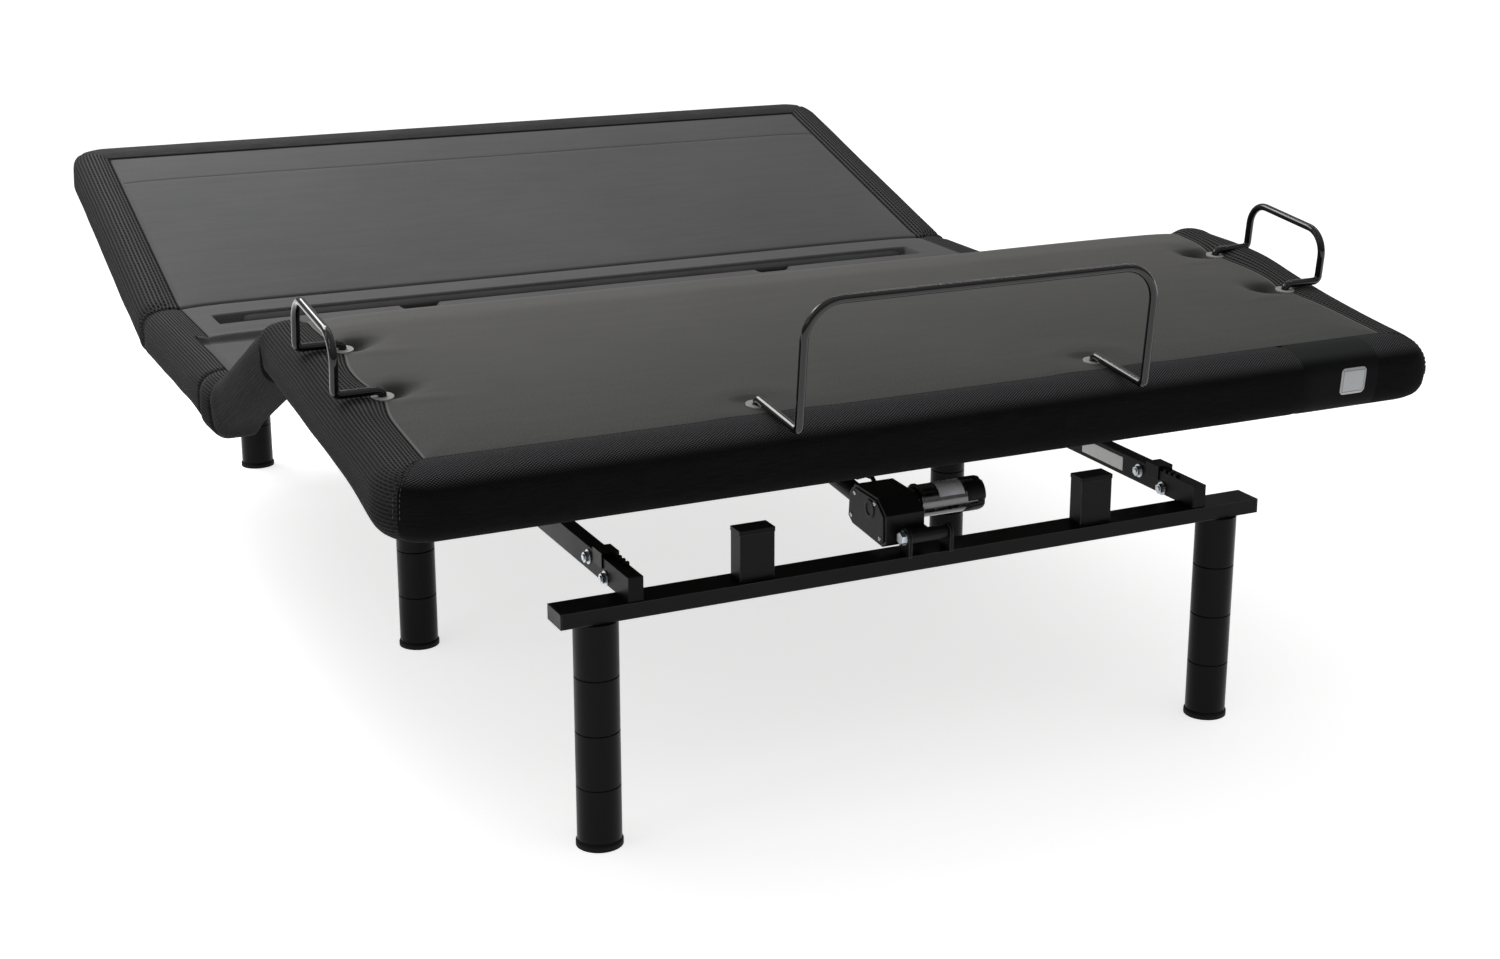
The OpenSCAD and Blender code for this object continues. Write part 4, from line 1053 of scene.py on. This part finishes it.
def blank_tag():
    """A plain sewn tag with no marks, on the foot face near the right corner."""
    nx, nz = 15, 12
    wall = (OUTWARD > 0.037) & (HEIGHT > -0.040)
    pts, faces, uvs = [], [], []
    for layer in (0.0012, -0.0006):
        for j in range(nz):
            for i in range(nx):
                u, v = i / (nx - 1) * 2 - 1, j / (nz - 1) * 2 - 1
                k = 1.0 - 0.10 * (abs(u) ** 8) * (abs(v) ** 8)
                x, w = TAG_X + TAG_HALF_X * u * k, TAG_W + TAG_HALF_W * v * k
                p, _ = rim_points(x, S_FOOT_END + RIM, 0.0, -1.0, x)
                face = p[wall][np.argsort(p[wall, 2])]
                s = np.interp(w, face[:, 2], face[:, 1])
                edge = max(abs(u), abs(v))
                lift = layer * (1.0 - 0.6 * max(0.0, edge - 0.9) * 10 * (layer > 0))
                pts.append((x, s - lift, w))
                uvs.append((x, w))
    back = nx * nz
    for j in range(nz - 1):
        for i in range(nx - 1):
            q = j * nx + i
            faces.append((q, q + 1, q + nx + 1, q + nx))
            faces.append((q + back, q + back + nx, q + back + nx + 1, q + back + 1))
    rim = list(range(nx)) + [j * nx + nx - 1 for j in range(1, nz)]
    rim += [(nz - 1) * nx + i for i in range(nx - 2, -1, -1)] + [j * nx for j in range(nz - 2, 0, -1)]
    for a, b in zip(rim, rim[1:] + rim[:1]):
        faces.append((a, a + back, b + back, b))
    ob = weld(new_object("blank_tag", to_rest(drape(np.array(pts))), faces, [LABEL_CLOTH], None, uvs))
    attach(ob, "foot")


def label_cloth():
    """Close pale satin weave with a darker stitched border."""
    n = Nodes("tag_satin")
    x, w, _ = n.xyz(n.uv())
    weave = n.math("SINE", n.mul(w, 2 * math.pi / 0.0007))
    warp = n.math("SINE", n.mul(x, 2 * math.pi / 0.0009))
    h = n.mul(weave, warp)
    dx = n.sub(TAG_HALF_X, n.abs(n.sub(x, TAG_X)))
    dw = n.sub(TAG_HALF_W, n.abs(n.add(w, -TAG_W)))
    line = n.abs(n.sub(n.math("MINIMUM", dx, dw), 0.0032))
    col = n.mix(n.span(h, -0.6, 0.6), (0.34, 0.35, 0.36), (0.46, 0.47, 0.48))
    col = n.mix(n.span(line, 0.0008, 0.0004, 0.0, 0.8), col, (0.12, 0.12, 0.125))
    n.set(Base_Color=col, Roughness=0.55, Normal=n.bump(h, 0.3, 0.0002))
    return n.mat


LABEL_CLOTH = label_cloth()
blank_tag()


# ------------------------------------------------------------------ stage
def floor():
    """A plain floor that glows a little, so that it stays pale far from the lights."""
    n = Nodes("floor")
    tint = n.mix(n.noise(n.obj(), 1.5, 2.0), (0.80, 0.80, 0.80), (0.81, 0.81, 0.81))
    n.set(Base_Color=tint, Roughness=0.95, Specular_IOR_Level=0.0)
    n.set(Emission_Color=(1.0, 1.0, 1.0), Emission_Strength=0.69)
    size = 30.0
    corners = [(-size, -size, 0), (size, -size, 0), (size, size, 0), (-size, size, 0)]
    ob = new_object("floor", corners, [(0, 1, 2, 3)], [n.mat])


def sky():
    """Soft light that grows towards the zenith; seen directly, the sweep is plain white."""
    white = (1.0, 1.0, 1.0, 1.0)
    world = bpy.data.worlds.new("world")
    bpy.context.scene.world = world
    world.use_nodes = True
    tree = world.node_tree
    light = tree.nodes["Background"]
    coord = tree.nodes.new("ShaderNodeTexCoord")
    split = tree.nodes.new("ShaderNodeSeparateXYZ")
    ramp = tree.nodes.new("ShaderNodeMapRange")
    tree.links.new(coord.outputs["Generated"], split.inputs[0])
    tree.links.new(split.outputs["Z"], ramp.inputs["Value"])
    for key, value in (("From Min", 0.0), ("From Max", 0.9), ("To Min", 0.16), ("To Max", 0.60)):
        ramp.inputs[key].default_value = value
    tree.links.new(ramp.outputs["Result"], light.inputs["Strength"])
    light.inputs["Color"].default_value = white
    sweep = tree.nodes.new("ShaderNodeBackground")
    seen = tree.nodes.new("ShaderNodeLightPath")
    pick = tree.nodes.new("ShaderNodeMixShader")
    sweep.inputs["Color"].default_value = white
    tree.links.new(seen.outputs["Is Camera Ray"], pick.inputs[0])
    tree.links.new(light.outputs[0], pick.inputs[1])
    tree.links.new(sweep.outputs[0], pick.inputs[2])
    tree.links.new(pick.outputs[0], tree.nodes["World Output"].inputs[0])


def area(name, at, target, size, power):
    """A rectangular area light at one place, turned towards another."""
    d = bpy.data.lights.new(name, "AREA")
    d.shape = "RECTANGLE"
    d.size, d.size_y = size
    d.energy = power
    ob = bpy.data.objects.new(name, d)
    bpy.context.scene.collection.objects.link(ob)
    ob.location = at
    ob.rotation_mode = "QUATERNION"
    ob.rotation_quaternion = (Vector(target) - Vector(at)).to_track_quat("-Z", "Y")


floor()
sky()
bpy.context.scene.view_settings.view_transform = "Standard"
area("key", (-1.1, 1.55, 2.4), (-0.1, 0.3, 0.4), (1.8, 1.2), 46.0)
area("left", (-3.4, 1.0, 2.6), (-0.2, 0.0, 0.4), (0.8, 2.0), 5.0)
area("strip", (1.2, 0.6, 3.1), (0.2, -0.6, 0.5), (4.0, 0.05), 10.0)
area("side", (-2.6, -1.2, 2.2), (0.0, -0.6, 0.5), (0.06, 1.6), 4.0)
